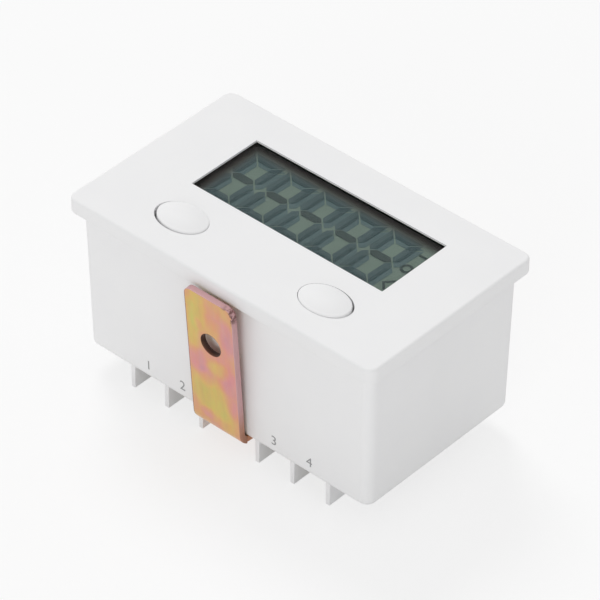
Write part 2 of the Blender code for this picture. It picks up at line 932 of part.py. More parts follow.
def make_board_parts():
    """The counter chip, the watch crystal and the filter capacitor under the board."""
    top = board_underside_z - gap
    bm = bmesh.new()
    verts = add_block(bm, (chip_x, chip_y), chip_side, chip_side, top - chip_height, top)
    lower = [edge for edge in edges_of(verts) if all(v.co.z < top - chip_height / 2 for v in edge.verts)]
    bevel(bm, lower, chip_edge, 3)
    new_object("counter_chip", mesh_from(bm, "counter_chip"), black_resin, math.radians(35))

    bm = bmesh.new()
    middle = (crystal_x, 0.0, top - crystal_radius)
    bmesh.ops.create_cone(
        bm,
        cap_ends=True,
        segments=16,
        radius1=crystal_radius,
        radius2=crystal_radius,
        depth=crystal_length,
        matrix=Matrix.Translation(middle) @ Matrix.Rotation(math.pi / 2, 4, "X"),
    )
    new_object("crystal", mesh_from(bm, "crystal"), steel, math.radians(35))

    can_bottom = top - capacitor_height
    can = [
        (0.0, top),
        (capacitor_radius, top),
        (capacitor_radius, can_bottom + capacitor_edge),
        (capacitor_radius - capacitor_edge, can_bottom),
        (0.0, can_bottom),
    ]
    turned("filter_capacitor", can, (capacitor_x, 0.0), blue_sleeve)


def make_cell():
    """The lithium cell on its side, and the two strips welded to its ends."""
    half = cell_length / 2
    profile = [
        (0.0, half),
        (cell_pole_radius, half),
        (cell_pole_radius, half - cell_pole_height),
        (cell_radius - cell_edge, half - cell_pole_height),
        (cell_radius, half - cell_pole_height - cell_edge),
        (cell_radius, -half + cell_edge),
        (cell_radius - cell_edge, -half),
        (0.0, -half),
    ]
    cell = turned("battery_cell", profile, (0.0, 0.0), cell_sleeve, 32)
    cell.location = (cell_centre_x, cell_y, cell_z)
    cell.rotation_euler = (0.0, math.pi / 2, 0.0)

    for name, near_x, side in (
        ("battery_tab_negative", cell_left_x - gap, -1),
        ("battery_tab_positive", cell_right_x + gap, 1),
    ):
        far_x = near_x + side * tab_thickness
        bm = bmesh.new()
        low = (min(near_x, far_x), cell_y - tab_width / 2, cell_z - tab_width / 2)
        high = (max(near_x, far_x), cell_y + tab_width / 2, board_underside_z - gap)
        verts = add_box(bm, low, high)
        along = [e for e in edges_of(verts) if abs(e.verts[0].co.x - e.verts[1].co.x) > tab_thickness / 2]
        bottom = [e for e in along if all(v.co.z < cell_z for v in e.verts)]
        bevel(bm, bottom, tab_width / 3, 4)
        new_object(name, mesh_from(bm, name), nickel, math.radians(35))


# Screw terminals


def make_terminal(number, place):
    """One wiring terminal: plate with solder tail, washer, screw, nut and inner lead."""
    name = "terminal_plate_%d" % number
    bm = bmesh.new()
    low = (place[0] - plate_width / 2, plate_front_y, plate_bottom_z)
    high = (place[0] + plate_width / 2, plate_back_y, plate_top_z)
    add_box(bm, low, high)
    plate = new_object(name, mesh_from(bm, name), nickel)
    tail = bmesh.new()
    low = (place[0] - tail_width / 2, plate_back_y - plate_thickness, plate_bottom_z + plate_thickness / 2)
    high = (place[0] + tail_width / 2, plate_back_y, plate_bottom_z + tail_height)
    add_box(tail, low, high)
    combine(plate, new_tool(name + "_tail", mesh_from(tail, name + "_tail")), "UNION")
    hole = bmesh.new()
    hole_radius = terminal_screw_radius + gap
    add_cylinder(hole, place, hole_radius, plate_bottom_z - overrun, plate_top_z + overrun, 20)
    combine(plate, new_tool(name + "_hole", mesh_from(hole, name + "_hole")), "DIFFERENCE")

    ring(
        "terminal_washer_%d" % number,
        place,
        terminal_washer_radius,
        terminal_screw_radius + stack_gap,
        washer_bottom_z,
        washer_top_z,
        nickel,
    )
    pan_screw(
        "terminal_screw_%d" % number,
        place,
        terminal_screw_radius,
        terminal_screw_length,
        terminal_head_radius,
        terminal_head_height,
        terminal_head_bottom_z,
        nickel,
    )

    nut_bottom = floor_z + gap
    name = "terminal_nut_%d" % number
    bm = bmesh.new()
    verts = add_block(bm, place, nut_side, nut_side, nut_bottom, nut_bottom + nut_thickness)
    bevel(bm, [edge for edge in edges_of(verts) if is_upright(edge)], switch_edge, 1)
    nut = new_object(name, mesh_from(bm, name), brass)
    thread = bmesh.new()
    top = nut_bottom + nut_thickness + overrun
    add_cylinder(thread, place, terminal_screw_radius + stack_gap, nut_bottom - overrun, top, 20)
    combine(nut, new_tool(name + "_thread", mesh_from(thread, name + "_thread")), "DIFFERENCE")

    start = Vector((place[0], plate_back_y - plate_thickness / 2, plate_bottom_z + tail_height + gap))
    end = Vector((place[0], start.y, board_underside_z - gap))
    make_lead("terminal_lead_%d" % number, start, end, lead_material(number))


def make_lead(name, start, end, material):
    """A short insulated wire that bows towards the front on its way up to the board."""
    path = bpy.data.curves.new(name, "CURVE")
    path.dimensions = "3D"
    path.bevel_depth = lead_radius
    path.bevel_resolution = 2
    path.use_fill_caps = True
    line = path.splines.new("POLY")
    steps = 8
    line.points.add(steps)
    for index in range(steps + 1):
        share = index / steps
        at = start.lerp(end, share)
        at.y -= lead_bow * math.sin(math.pi * share) ** 2
        line.points[index].co = (*at, 1.0)
    guide = bpy.data.objects.new(name + "_path", path)
    counter_parts.objects.link(guide)
    bpy.context.view_layer.update()
    shape = guide.evaluated_get(bpy.context.evaluated_depsgraph_get())
    mesh = bpy.data.meshes.new_from_object(shape)
    bpy.data.objects.remove(guide, do_unlink=True)
    bm = bmesh.new()
    bm.from_mesh(mesh)
    bmesh.ops.remove_doubles(bm, verts=bm.verts, dist=display_gap / 10)
    bmesh.ops.recalc_face_normals(bm, faces=bm.faces)
    mesh.materials.clear()
    bm.to_mesh(mesh)
    bm.free()
    return new_object(name, mesh, material, math.radians(50))


def lead_material(number):
    return red_wire if number % 2 else black_wire


# Clamp strap


def strap_path():
    """The strap's middle line from the middle of its base to one tip, as (y, z) points."""
    middle_radius = strap_bend_radius + strap_thickness / 2
    turn = math.pi / 2 - strap_lean
    base_z = (strap_top_z + strap_bottom_z) / 2
    side_y = body_width / 2 - body_draft + strap_side_clearance + strap_thickness / 2
    bend_start_y = side_y - middle_radius
    bend_centre_z = base_z + middle_radius
    points = [(0.0, base_z)]
    for index in range(bend_segments + 1):
        angle = turn * index / bend_segments
        points.append(
            (
                bend_start_y + middle_radius * math.sin(angle),
                bend_centre_z - middle_radius * math.cos(angle),
            )
        )
    last_y, last_z = points[-1]
    rise = strap_tip_z - last_z
    points.append((last_y + rise * math.tan(strap_lean), strap_tip_z))
    return points


def make_strap():
    """A bent strip that passes between the fins, with a holed arm up each long side."""
    half = strap_path()
    far = [(-y, z) for y, z in reversed(half[1:])]
    bm = bmesh.new()
    left_x = strap_centre_x - strap_width / 2
    line = [bm.verts.new((left_x, y, z)) for y, z in far + half]
    edges = [bm.edges.new(pair) for pair in zip(line, line[1:])]
    swept = bmesh.ops.extrude_edge_only(bm, edges=edges)["geom"]
    moved = [item for item in swept if isinstance(item, bmesh.types.BMVert)]
    bmesh.ops.translate(bm, verts=moved, vec=(strap_width, 0.0, 0.0))
    corners = [vert for vert in bm.verts if abs(vert.co.z - strap_tip_z) < display_gap]
    bmesh.ops.bevel(
        bm,
        geom=corners,
        offset=strap_corner_radius,
        offset_type="OFFSET",
        affect="VERTICES",
        segments=fillet_segments,
        profile=0.5,
    )
    bmesh.ops.recalc_face_normals(bm, faces=bm.faces)
    strap = new_object("mounting_bracket", mesh_from(bm, "mounting_bracket"), zinc_plate, math.radians(30))
    skin = strap.modifiers.new("thickness", "SOLIDIFY")
    skin.thickness = strap_thickness
    skin.offset = 0.0
    skin.use_even_offset = True

    tip_y = half[-1][0]
    rise = strap_tip_z - strap_hole_z
    hole_y = tip_y - rise * math.tan(strap_lean)
    punch = bmesh.new()
    for side in (-1, 1):
        place = Matrix.Translation((strap_centre_x, side * hole_y, strap_hole_z))
        tilt = Matrix.Rotation(side * -strap_lean, 4, "X")
        bmesh.ops.create_cone(
            punch,
            cap_ends=True,
            segments=28,
            radius1=strap_hole_radius,
            radius2=strap_hole_radius,
            depth=strap_thickness + 2 * overrun,
            matrix=place @ tilt @ Matrix.Rotation(math.pi / 2, 4, "X"),
        )
    add_cylinder(
        punch, strap_centre, strap_screw_radius + gap, strap_bottom_z - overrun, strap_top_z + overrun, 20
    )
    combine(strap, new_tool("bracket_holes", mesh_from(punch, "bracket_holes")), "DIFFERENCE")

    neck = bmesh.new()
    neck_y = gap - fin_front_y
    for side in (-1, 1):
        inner_x = strap_centre_x + side * (strap_width / 2 - strap_neck_inset)
        outer_x = strap_centre_x + side * (strap_width / 2 + overrun)
        low = (min(inner_x, outer_x), -neck_y, strap_bottom_z - overrun)
        high = (max(inner_x, outer_x), neck_y, rear_face_z + strap_bend_radius)
        add_box(neck, low, high)
    combine(strap, new_tool("bracket_neck", mesh_from(neck, "bracket_neck")), "DIFFERENCE")

    ring(
        "bracket_washer",
        strap_centre,
        strap_washer_radius,
        strap_screw_radius + stack_gap,
        strap_washer_bottom_z,
        strap_washer_top_z,
        nickel,
    )
    pan_screw(
        "bracket_screw",
        strap_centre,
        strap_screw_radius,
        strap_screw_length,
        strap_head_radius,
        strap_head_top_z,
        0.0,
        nickel,
    )
    ring(
        "bracket_insert",
        strap_centre,
        insert_radius,
        strap_screw_radius + stack_gap,
        floor_z - wall / 2 + gap,
        floor_z - wall / 2 + gap + insert_length - wall / 2,
        brass,
    )


clear_scene()
counter_parts = new_collection("digital_counter")
cutters = new_collection("cutters")

white_plastic = new_material("white_plastic", (0.83, 0.83, 0.83), 0.42)
black_plastic = new_material("black_plastic", (0.02, 0.02, 0.022), 0.45)
black_resin = new_material("black_resin", (0.015, 0.015, 0.016), 0.3)
black_rubber = new_material("black_rubber", (0.03, 0.03, 0.03), 0.8)
clear_glass = new_material("clear_glass", (0.75, 0.8, 0.78), 0.05, alpha=0.3)
film_grey = new_material("film_grey", (0.13, 0.17, 0.15), 0.2, alpha=0.5)
film_green = new_material("film_green", (0.13, 0.18, 0.15), 0.35)
board_green = new_material("board_green", (0.02, 0.16, 0.06), 0.4)
blue_sleeve = new_material("blue_sleeve", (0.03, 0.06, 0.25), 0.35)
cell_sleeve = new_material("cell_sleeve", (0.1, 0.28, 0.12), 0.35)
steel = new_material("steel", (0.55, 0.55, 0.56), 0.3, 1.0)
nickel = new_material("nickel", (0.66, 0.63, 0.57), 0.28, 1.0)
brass = new_material("brass", (0.7, 0.48, 0.18), 0.3, 1.0)
zinc_plate = new_material("zinc_plate", (0.62, 0.42, 0.2), 0.32, 1.0)
red_wire = new_material("red_wire", (0.5, 0.02, 0.02), 0.5)
black_wire = new_material("black_wire", (0.02, 0.02, 0.02), 0.5)

make_front_bezel()
make_rear_housing()
make_display()
make_circuit_board()
make_board_screws()
for key_side in key_places:
    make_key(key_side)
make_board_parts()
make_cell()
for bay_number, bay_place in enumerate(terminal_places, start=1):
    make_terminal(bay_number, bay_place)
make_strap()
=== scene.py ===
# Dressed model of a panel-mount digital counter.
# White moulded case, five-digit liquid crystal window, two keys, clamp strap and screw terminals.
# Z points out of the display, X runs along the digits, Y points to the top of the digits.

import math

import bmesh
import bpy
from mathutils import Matrix, Vector


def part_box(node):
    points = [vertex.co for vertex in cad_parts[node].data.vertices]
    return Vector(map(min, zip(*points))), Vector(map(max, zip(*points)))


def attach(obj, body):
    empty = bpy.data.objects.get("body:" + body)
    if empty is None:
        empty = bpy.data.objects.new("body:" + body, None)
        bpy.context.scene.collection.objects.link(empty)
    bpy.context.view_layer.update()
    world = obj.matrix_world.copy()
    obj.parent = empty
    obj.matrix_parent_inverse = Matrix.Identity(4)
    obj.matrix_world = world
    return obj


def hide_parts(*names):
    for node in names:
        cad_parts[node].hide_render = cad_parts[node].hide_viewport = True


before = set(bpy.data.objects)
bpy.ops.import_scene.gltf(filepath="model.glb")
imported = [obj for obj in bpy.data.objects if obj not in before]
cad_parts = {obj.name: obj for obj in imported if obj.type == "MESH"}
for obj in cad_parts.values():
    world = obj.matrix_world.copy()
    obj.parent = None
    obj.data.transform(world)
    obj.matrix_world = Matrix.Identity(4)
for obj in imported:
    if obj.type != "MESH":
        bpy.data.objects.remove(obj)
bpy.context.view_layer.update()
print("frame loaded:", len(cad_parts), "nodes")

mm = 0.001
faceZ = 34.2 * mm
weldReach = 0.001 * mm  # closer points than this are one point
bumpDepth = 0.02 * mm


def linear(red, green, blue):
    # screen colour 0 to 255 to the linear value that the shader takes
    parts = []
    for value in (red, green, blue):
        share = value / 255
        parts.append(share / 12.92 if share <= 0.04045 else ((share + 0.055) / 1.055) ** 2.4)
    return (*parts, 1.0)


# Node helpers


def addNode(tree, kind, inputs=None, **settings):
    node = tree.nodes.new(kind)
    for key, value in settings.items():
        setattr(node, key, value)
    for key, value in (inputs or {}).items():
        node.inputs[key].default_value = value
    return node


def join(tree, source, output, target, socket):
    tree.links.new(source.outputs[output], target.inputs[socket])


def fillRamp(node, stops):
    ramp = node.color_ramp
    while len(ramp.elements) > 1:
        ramp.elements.remove(ramp.elements[-1])
    ramp.elements[0].position, ramp.elements[0].color = stops[0]
    for position, colour in stops[1:]:
        ramp.elements.new(position).color = colour


def newGroup(name, ins, outs):
    group = bpy.data.node_groups.new(name, "ShaderNodeTree")
    for title, kind, value in ins:
        socket = group.interface.new_socket(title, in_out="INPUT", socket_type=kind)
        socket.default_value = value
    for title, kind in outs:
        group.interface.new_socket(title, in_out="OUTPUT", socket_type=kind)
    start = group.nodes.new("NodeGroupInput")
    end = group.nodes.new("NodeGroupOutput")
    return group, start, end


def calc(tree, operation, first, second=0.0):
    # one sum on fixed numbers or on what other nodes give
    node = addNode(tree, "ShaderNodeMath", operation=operation)
    for index, value in enumerate((first, second)):
        if isinstance(value, float):
            node.inputs[index].default_value = value
        else:
            tree.links.new(value, node.inputs[index])
    return node.outputs[0]


def sumOfSquares(tree, first, second):
    return calc(tree, "ADD", calc(tree, "MULTIPLY", first, first), calc(tree, "MULTIPLY", second, second))


def between(tree, value, low, high):
    # low where the value is 0, high where it is 1
    node = addNode(tree, "ShaderNodeMapRange", {"To Min": low, "To Max": high})
    tree.links.new(value, node.inputs["Value"])
    return node.outputs["Result"]


def softStep(tree, value, low, high, first=0.0, last=1.0):
    # first below low, last above high, and a soft change between
    node = addNode(
        tree,
        "ShaderNodeMapRange",
        {"From Min": low, "From Max": high, "To Min": first, "To Max": last},
        interpolation_type="SMOOTHSTEP",
    )
    tree.links.new(value, node.inputs["Value"])
    return node.outputs["Result"]


def colourMix(tree, share, first, second, blend="MIX"):
    # sockets 0, 6 and 7 of a Mix node are its factor and colours, and output 2 is the mixed colour
    node = addNode(tree, "ShaderNodeMix", data_type="RGBA", blend_type=blend)
    for index, value in ((0, share), (6, first), (7, second)):
        if isinstance(value, (float, tuple)):
            node.inputs[index].default_value = value
        else:
            tree.links.new(value, node.inputs[index])
    return node.outputs[2]


def groupColour(group, start, end, noise, light, dark):
    # the colour that a group puts out, drifting between two that the material gives
    colour = colourMix(group, noise.outputs["Fac"], start.outputs[light], start.outputs[dark])
    group.links.new(colour, end.inputs["Color"])


def groupRoughness(group, start, end, noise, low, high):
    # the roughness that a group puts out, which follows the noise's usual range
    spread = addNode(group, "ShaderNodeMapRange", {"From Min": 0.3, "From Max": 0.7})
    join(group, noise, "Fac", spread, "Value")
    join(group, start, low, spread, "To Min")
    join(group, start, high, spread, "To Max")
    join(group, spread, "Result", end, "Roughness")


# Effects that several materials share


def buildMouldGrain():
    # fine spark-eroded texture of moulded plastic, with a faint cloudiness in the colour
    group, start, end = newGroup(
        "mouldGrain",
        [
            ("Place", "NodeSocketVector", (0.0, 0.0, 0.0)),
            ("Light Colour", "NodeSocketColor", (0.8, 0.8, 0.8, 1.0)),
            ("Dark Colour", "NodeSocketColor", (0.75, 0.75, 0.75, 1.0)),
            ("Cloud Scale", "NodeSocketFloat", 120.0),
            ("Grain Scale", "NodeSocketFloat", 4500.0),
            ("Smooth", "NodeSocketFloat", 0.35),
            ("Rough", "NodeSocketFloat", 0.5),
        ],
        [("Color", "NodeSocketColor"), ("Roughness", "NodeSocketFloat"), ("Height", "NodeSocketFloat")],
    )
    cloud = addNode(group, "ShaderNodeTexNoise", {"Detail": 3.0, "Roughness": 0.55})
    grain = addNode(group, "ShaderNodeTexNoise", {"Detail": 2.0, "Roughness": 0.6})
    for noise, scale in ((cloud, "Cloud Scale"), (grain, "Grain Scale")):
        join(group, start, "Place", noise, "Vector")
        join(group, start, scale, noise, "Scale")
    groupColour(group, start, end, cloud, "Light Colour", "Dark Colour")
    groupRoughness(group, start, end, grain, "Smooth", "Rough")
    join(group, grain, "Fac", end, "Height")
    return group


def buildTurnedMetal():
    # plated or turned metal: dull patches and fine streaks that run along one axis
    group, start, end = newGroup(
        "turnedMetal",
        [
            ("Place", "NodeSocketVector", (0.0, 0.0, 0.0)),
            ("Bright Colour", "NodeSocketColor", (0.7, 0.7, 0.7, 1.0)),
            ("Dull Colour", "NodeSocketColor", (0.5, 0.5, 0.5, 1.0)),
            ("Patch Scale", "NodeSocketFloat", 400.0),
            ("Streak Scale", "NodeSocketFloat", 1500.0),
            ("Polished", "NodeSocketFloat", 0.2),
            ("Worn", "NodeSocketFloat", 0.42),
        ],
        [("Color", "NodeSocketColor"), ("Roughness", "NodeSocketFloat"), ("Height", "NodeSocketFloat")],
    )
    patch = addNode(group, "ShaderNodeTexNoise", {"Detail": 4.0, "Roughness": 0.6})
    join(group, start, "Place", patch, "Vector")
    join(group, start, "Patch Scale", patch, "Scale")
    stretch = addNode(group, "ShaderNodeMapping", {"Scale": (1.0, 1.0, 0.06)})
    join(group, start, "Place", stretch, "Vector")
    streak = addNode(group, "ShaderNodeTexNoise", {"Detail": 3.0, "Roughness": 0.7})
    join(group, stretch, "Vector", streak, "Vector")
    join(group, start, "Streak Scale", streak, "Scale")
    groupColour(group, start, end, patch, "Bright Colour", "Dull Colour")
    groupRoughness(group, start, end, patch, "Polished", "Worn")
    join(group, streak, "Fac", end, "Height")
    return group


mouldGrain = buildMouldGrain()
turnedMetal = buildTurnedMetal()
print("shader groups built")


# Materials


def startMaterial(name, inputs):
    material = bpy.data.materials.new(name)
    material.use_nodes = True
    tree = material.node_tree
    shader = tree.nodes["Principled BSDF"]
    for key, value in inputs.items():
        shader.inputs[key].default_value = value
    place = addNode(tree, "ShaderNodeTexCoord")
    return material, tree, shader, place


def groupedMaterial(name, group, values, fixed, bumpStrength):
    # a material whose colour, roughness and bump come from one shared group
    material, tree, shader, place = startMaterial(name, fixed)
    effect = tree.nodes.new("ShaderNodeGroup")
    effect.node_tree = group
    for key, value in values.items():
        effect.inputs[key].default_value = value
    bump = addNode(tree, "ShaderNodeBump", {"Strength": bumpStrength, "Distance": bumpDepth})
    join(tree, place, "Object", effect, "Place")
    join(tree, effect, "Color", shader, "Base Color")
    join(tree, effect, "Roughness", shader, "Roughness")
    join(tree, effect, "Height", bump, "Height")
    join(tree, bump, "Normal", shader, "Normal")
    return material


def plastic(name, light, dark, smooth, rough, cloud=120.0, grain=4500.0, bump=0.12):
    values = {
        "Light Colour": linear(*light),
        "Dark Colour": linear(*dark),
        "Cloud Scale": cloud,
        "Grain Scale": grain,
        "Smooth": smooth,
        "Rough": rough,
    }
    return groupedMaterial(name, mouldGrain, values, {"IOR": 1.5}, bump)


def metal(name, bright, dull, polished, worn):
    values = {
        "Bright Colour": linear(*bright),
        "Dull Colour": linear(*dull),
        "Patch Scale": 400.0,
        "Streak Scale": 1500.0,
        "Polished": polished,
        "Worn": worn,
    }
    return groupedMaterial(name, turnedMetal, values, {"Metallic": 1.0}, 0.15)


whiteCase = plastic("whiteCase", (238, 238, 238), (234, 234, 235), 0.42, 0.56)
whiteKey = plastic("whiteKey", (237, 237, 237), (234, 234, 235), 0.3, 0.36, bump=0.04)
blackMoulding = plastic("blackMoulding", (34, 34, 36), (24, 24, 26), 0.38, 0.55)
chipResin = plastic("chipResin", (30, 30, 31), (20, 20, 21), 0.32, 0.46, cloud=600.0, grain=9000.0)
stripRubber = plastic("stripRubber", (38, 38, 38), (28, 28, 28), 0.7, 0.85)
cellSleeve = plastic("cellSleeve", (60, 128, 74), (50, 112, 64), 0.22, 0.34, bump=0.03)
canSleeve = plastic("canSleeve", (30, 44, 110), (22, 34, 92), 0.22, 0.34, bump=0.03)
redSheath = plastic("redSheath", (186, 30, 26), (168, 22, 20), 0.36, 0.5)
blackSheath = plastic("blackSheath", (32, 32, 33), (22, 22, 23), 0.36, 0.5)
nickelPlate = metal("nickelPlate", (214, 210, 202), (176, 172, 164), 0.18, 0.38)
plainSteel = metal("plainSteel", (202, 203, 205), (168, 169, 172), 0.22, 0.42)
turnedBrass = metal("turnedBrass", (214, 172, 92), (176, 134, 62), 0.2, 0.4)

boardLook = {
    "tones": ((0.0, linear(30, 120, 62)), (0.16, linear(30, 120, 62)), (0.2, linear(16, 84, 44))),
    "roughness": (0.28, 0.42),
}


def buildBoardLaminate():
    # green solder mask, darker where copper tracks run under it
    look = boardLook
    material, tree, shader, place = startMaterial("boardLaminate", {"IOR": 1.5, "Coat Weight": 0.3})
    weave = addNode(tree, "ShaderNodeTexNoise", {"Scale": 900.0, "Detail": 2.0})
    tracks = addNode(tree, "ShaderNodeTexVoronoi", {"Scale": 420.0}, distance="MANHATTAN")
    tracks.feature = "DISTANCE_TO_EDGE"
    ramp = addNode(tree, "ShaderNodeValToRGB")
    fillRamp(ramp, look["tones"])
    join(tree, place, "Object", weave, "Vector")
    join(tree, place, "Object", tracks, "Vector")
    join(tree, tracks, "Distance", ramp, "Fac")
    join(tree, ramp, "Color", shader, "Base Color")
    tree.links.new(between(tree, weave.outputs["Fac"], *look["roughness"]), shader.inputs["Roughness"])
    return material


boardLaminate = buildBoardLaminate()


def clearLayer(name, colour, darker, alpha, spread, roughness):
    # a see-through layer of the display, with a faint unevenness in how much it lets through
    material, tree, shader, place = startMaterial(name, {"IOR": 1.5, "Roughness": roughness})
    haze = addNode(tree, "ShaderNodeTexNoise", {"Scale": 260.0, "Detail": 2.0})
    join(tree, place, "Object", haze, "Vector")
    tint = colourMix(tree, haze.outputs["Fac"], linear(*colour), linear(*darker))
    tree.links.new(tint, shader.inputs["Base Color"])
    amount = between(tree, haze.outputs["Fac"], alpha - spread, alpha + spread)
    tree.links.new(amount, shader.inputs["Alpha"])
    return material


displayGlass = clearLayer("displayGlass", (44, 54, 50), (42, 52, 48), 0.03, 0.01, 0.08)
polarizerFilm = clearLayer("polarizerFilm", (30, 38, 36), (29, 36, 35), 0.12, 0.02, 0.16)

# painted shade: the display darkens toward the window's left and back edges, where the window's lip casts
# its shade
displayEdgeShade = {
    "shadeX": -18.3 * mm,
    "shadeY": 10.5 * mm,
    "fade": 1.3 * mm,
    "tone": linear(74, 66, 65),
    "cloudScale": 140.0,
}


def displayTone(name, light, dark):
    # one tone of the display, which fades into a painted shade at the window's left and back, where the
    # window's lip shades the display
    look = displayEdgeShade
    material, tree, shader, place = startMaterial(name, {"IOR": 1.5, "Roughness": 0.5})
    axes = addNode(tree, "ShaderNodeSeparateXYZ")
    cloud = addNode(tree, "ShaderNodeTexNoise", {"Scale": look["cloudScale"], "Detail": 2.0})
    join(tree, place, "Object", axes, "Vector")
    join(tree, place, "Object", cloud, "Vector")
    left = calc(tree, "SUBTRACT", look["shadeX"], axes.outputs["X"])
    back = calc(tree, "SUBTRACT", axes.outputs["Y"], look["shadeY"])
    edgeShade = softStep(tree, calc(tree, "MAXIMUM", left, back), -look["fade"], look["fade"])
    tone = colourMix(tree, cloud.outputs["Fac"], linear(*light), linear(*dark))
    tree.links.new(colourMix(tree, edgeShade, tone, look["tone"]), shader.inputs["Base Color"])
    return material


displayGround = displayTone("displayGround", (130, 152, 138), (125, 146, 135))
ghostInk = displayTone("ghostSegment", (81, 104, 104), (76, 100, 102))
# painted shade: the darker tone of a segment that lies over a painted shadow
shadedGhostTone = displayTone("segmentInShade", (58, 84, 88), (54, 81, 84))
shadowTone = displayTone("segmentShadow", (95, 120, 121), (90, 116, 117))
gapTone = displayTone("segmentGap", (130, 152, 145), (124, 146, 140))
litInk = displayTone("litSegment", (66, 84, 81), (58, 76, 75))
reflectorFilm = plastic("reflectorFilm", (158, 184, 166), (152, 178, 162), 0.4, 0.55, 500.0, 7000.0)
print("materials built")


# Shape helpers


def finishPiece(bm, name, material, smoothAngle=None):
    mesh = bpy.data.meshes.new(name)
    bm.normal_update()
    bm.to_mesh(mesh)
    bm.free()
    piece = bpy.data.objects.new(name, mesh)
    bpy.context.scene.collection.objects.link(piece)
    mesh.materials.append(material)
    if smoothAngle is not None:
        mesh.shade_smooth()
        mesh.set_sharp_from_angle(angle=math.radians(smoothAngle))
    return piece


def settle(piece, body, replaced=()):
    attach(piece, body)
    if replaced:
        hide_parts(*replaced)
    return piece


def dressNode(nodeName, material):
    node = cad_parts[nodeName]
    node.data.materials.clear()
    node.data.materials.append(material)


solidCopy = {
    "flatAngle": math.radians(0.4),
    "edgeSteps": 2,
    "mouldedAngle": 30,
    "metalAngle": 40,
}


def mergedCopy(nodeName, pieceName, material, body, edge, smoothAngle, wide=True):
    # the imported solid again, merged and with its edges broken as a tool leaves them
    form = solidCopy
    bm = bmesh.new()
    bm.from_mesh(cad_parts[nodeName].data)
    bmesh.ops.remove_doubles(bm, verts=bm.verts, dist=weldReach)
    if wide:
        # flat areas become wide faces, which a cross recess in a screw head would tear
        bmesh.ops.dissolve_limit(
            bm,
            angle_limit=form["flatAngle"],
            verts=bm.verts,
            edges=bm.edges,
            use_dissolve_boundaries=False,
        )
    piece = finishPiece(bm, pieceName, material, smoothAngle)
    soft = piece.modifiers.new("brokenEdges", "BEVEL")
    soft.width = edge
    soft.segments = form["edgeSteps"]
    soft.limit_method = "ANGLE"
    soft.angle_limit = math.radians(smoothAngle)
    soft.harden_normals = True
    soft.use_clamp_overlap = True
    return settle(piece, body, (nodeName,))


def platedCopy(nodeName, pieceName, body, edge, wide=True):
    # a nickel-plated washer, plate or screw
    angle = solidCopy["metalAngle"]
    return mergedCopy(nodeName, pieceName, nickelPlate, body, edge, angle, wide)


# Case

caseParts = {"front_bezel": ("bezelShell", 0.12 * mm), "rear_housing": ("rearShell", 0.15 * mm)}
for nodeName, (pieceName, edge) in caseParts.items():
    mergedCopy(nodeName, pieceName, whiteCase, "case", edge, solidCopy["mouldedAngle"])
print("case made")


# Keys

keyForm = {
    "halfLength": 4.76 * mm,
    "halfWidth": 3.38 * mm,
    "shift": {"left": (0.1 * mm, 0.19 * mm), "right": (-0.12 * mm, -0.03 * mm)},
    "rise": 1.0 * mm,
    "edgeRise": 0.22 * mm,
    "edgeRound": 0.35 * mm,
    "flangeTop": 31.9 * mm,
    "flangeBottom": 31.2 * mm,
    "flangeReach": 0.5 * mm,
    "stemRadius": 1.6 * mm,
    "stemBottom": 30.6 * mm,
    "steps": 72,
    "domeSteps": 12,
    "domePower": 2.3,
    "edgeSteps": 4,
    "smoothAngle": 40,
}


def makeKeyCap(side):
    form = keyForm
    low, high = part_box(side + "_button")
    shiftX, shiftY = form["shift"][side]
    centre = Vector(((low.x + high.x) / 2 + shiftX, (low.y + high.y) / 2 + shiftY, 0.0))
    bm = bmesh.new()
    crown = form["halfLength"] - form["edgeRound"]
    edgeZ = faceZ + form["edgeRise"]
    dome = form["rise"] - form["edgeRise"]
    profile = []
    for index in range(form["domeSteps"] + 1):
        share = index / form["domeSteps"]
        profile.append((crown * share, edgeZ + dome * (1 - share ** form["domePower"])))
    for index in range(1, form["edgeSteps"] + 1):
        turn = math.pi / 2 * index / form["edgeSteps"]
        across = crown + form["edgeRound"] * math.sin(turn)
        profile.append((across, edgeZ - form["edgeRound"] * (1 - math.cos(turn))))
    flange = form["halfLength"] + form["flangeReach"]
    profile += [
        (form["halfLength"], form["flangeTop"]),
        (flange, form["flangeTop"]),
        (flange, form["flangeBottom"]),
        (form["stemRadius"], form["flangeBottom"]),
        (form["stemRadius"], form["stemBottom"]),
        (0.0, form["stemBottom"]),
    ]
    points = [bm.verts.new((radius, 0.0, height)) for radius, height in profile]
    for upper, lower in zip(points, points[1:]):
        bm.edges.new((upper, lower))
    bmesh.ops.spin(
        bm,
        geom=bm.verts[:] + bm.edges[:],
        cent=(0, 0, 0),
        axis=(0, 0, 1),
        angle=math.tau,
        steps=form["steps"],
        use_merge=True,
        use_duplicate=False,
    )
    bmesh.ops.remove_doubles(bm, verts=bm.verts, dist=weldReach)
    slimmer = form["halfLength"] - form["halfWidth"]
    for vert in bm.verts:
        reach = math.hypot(vert.co.x, vert.co.y)
        if reach > crown:
            vert.co.y *= (reach - slimmer) / reach
        elif vert.co.z > form["flangeTop"]:
            vert.co.y *= (crown - slimmer) / crown
    bmesh.ops.recalc_face_normals(bm, faces=bm.faces)
    bmesh.ops.translate(bm, verts=bm.verts, vec=centre)
    cap = finishPiece(bm, side + "KeyCap", whiteKey, form["smoothAngle"])
    return settle(cap, side + "_key", (side + "_button",))


for side in ("left", "right"):
    makeKeyCap(side)
print("keys made")


# Clamp strap

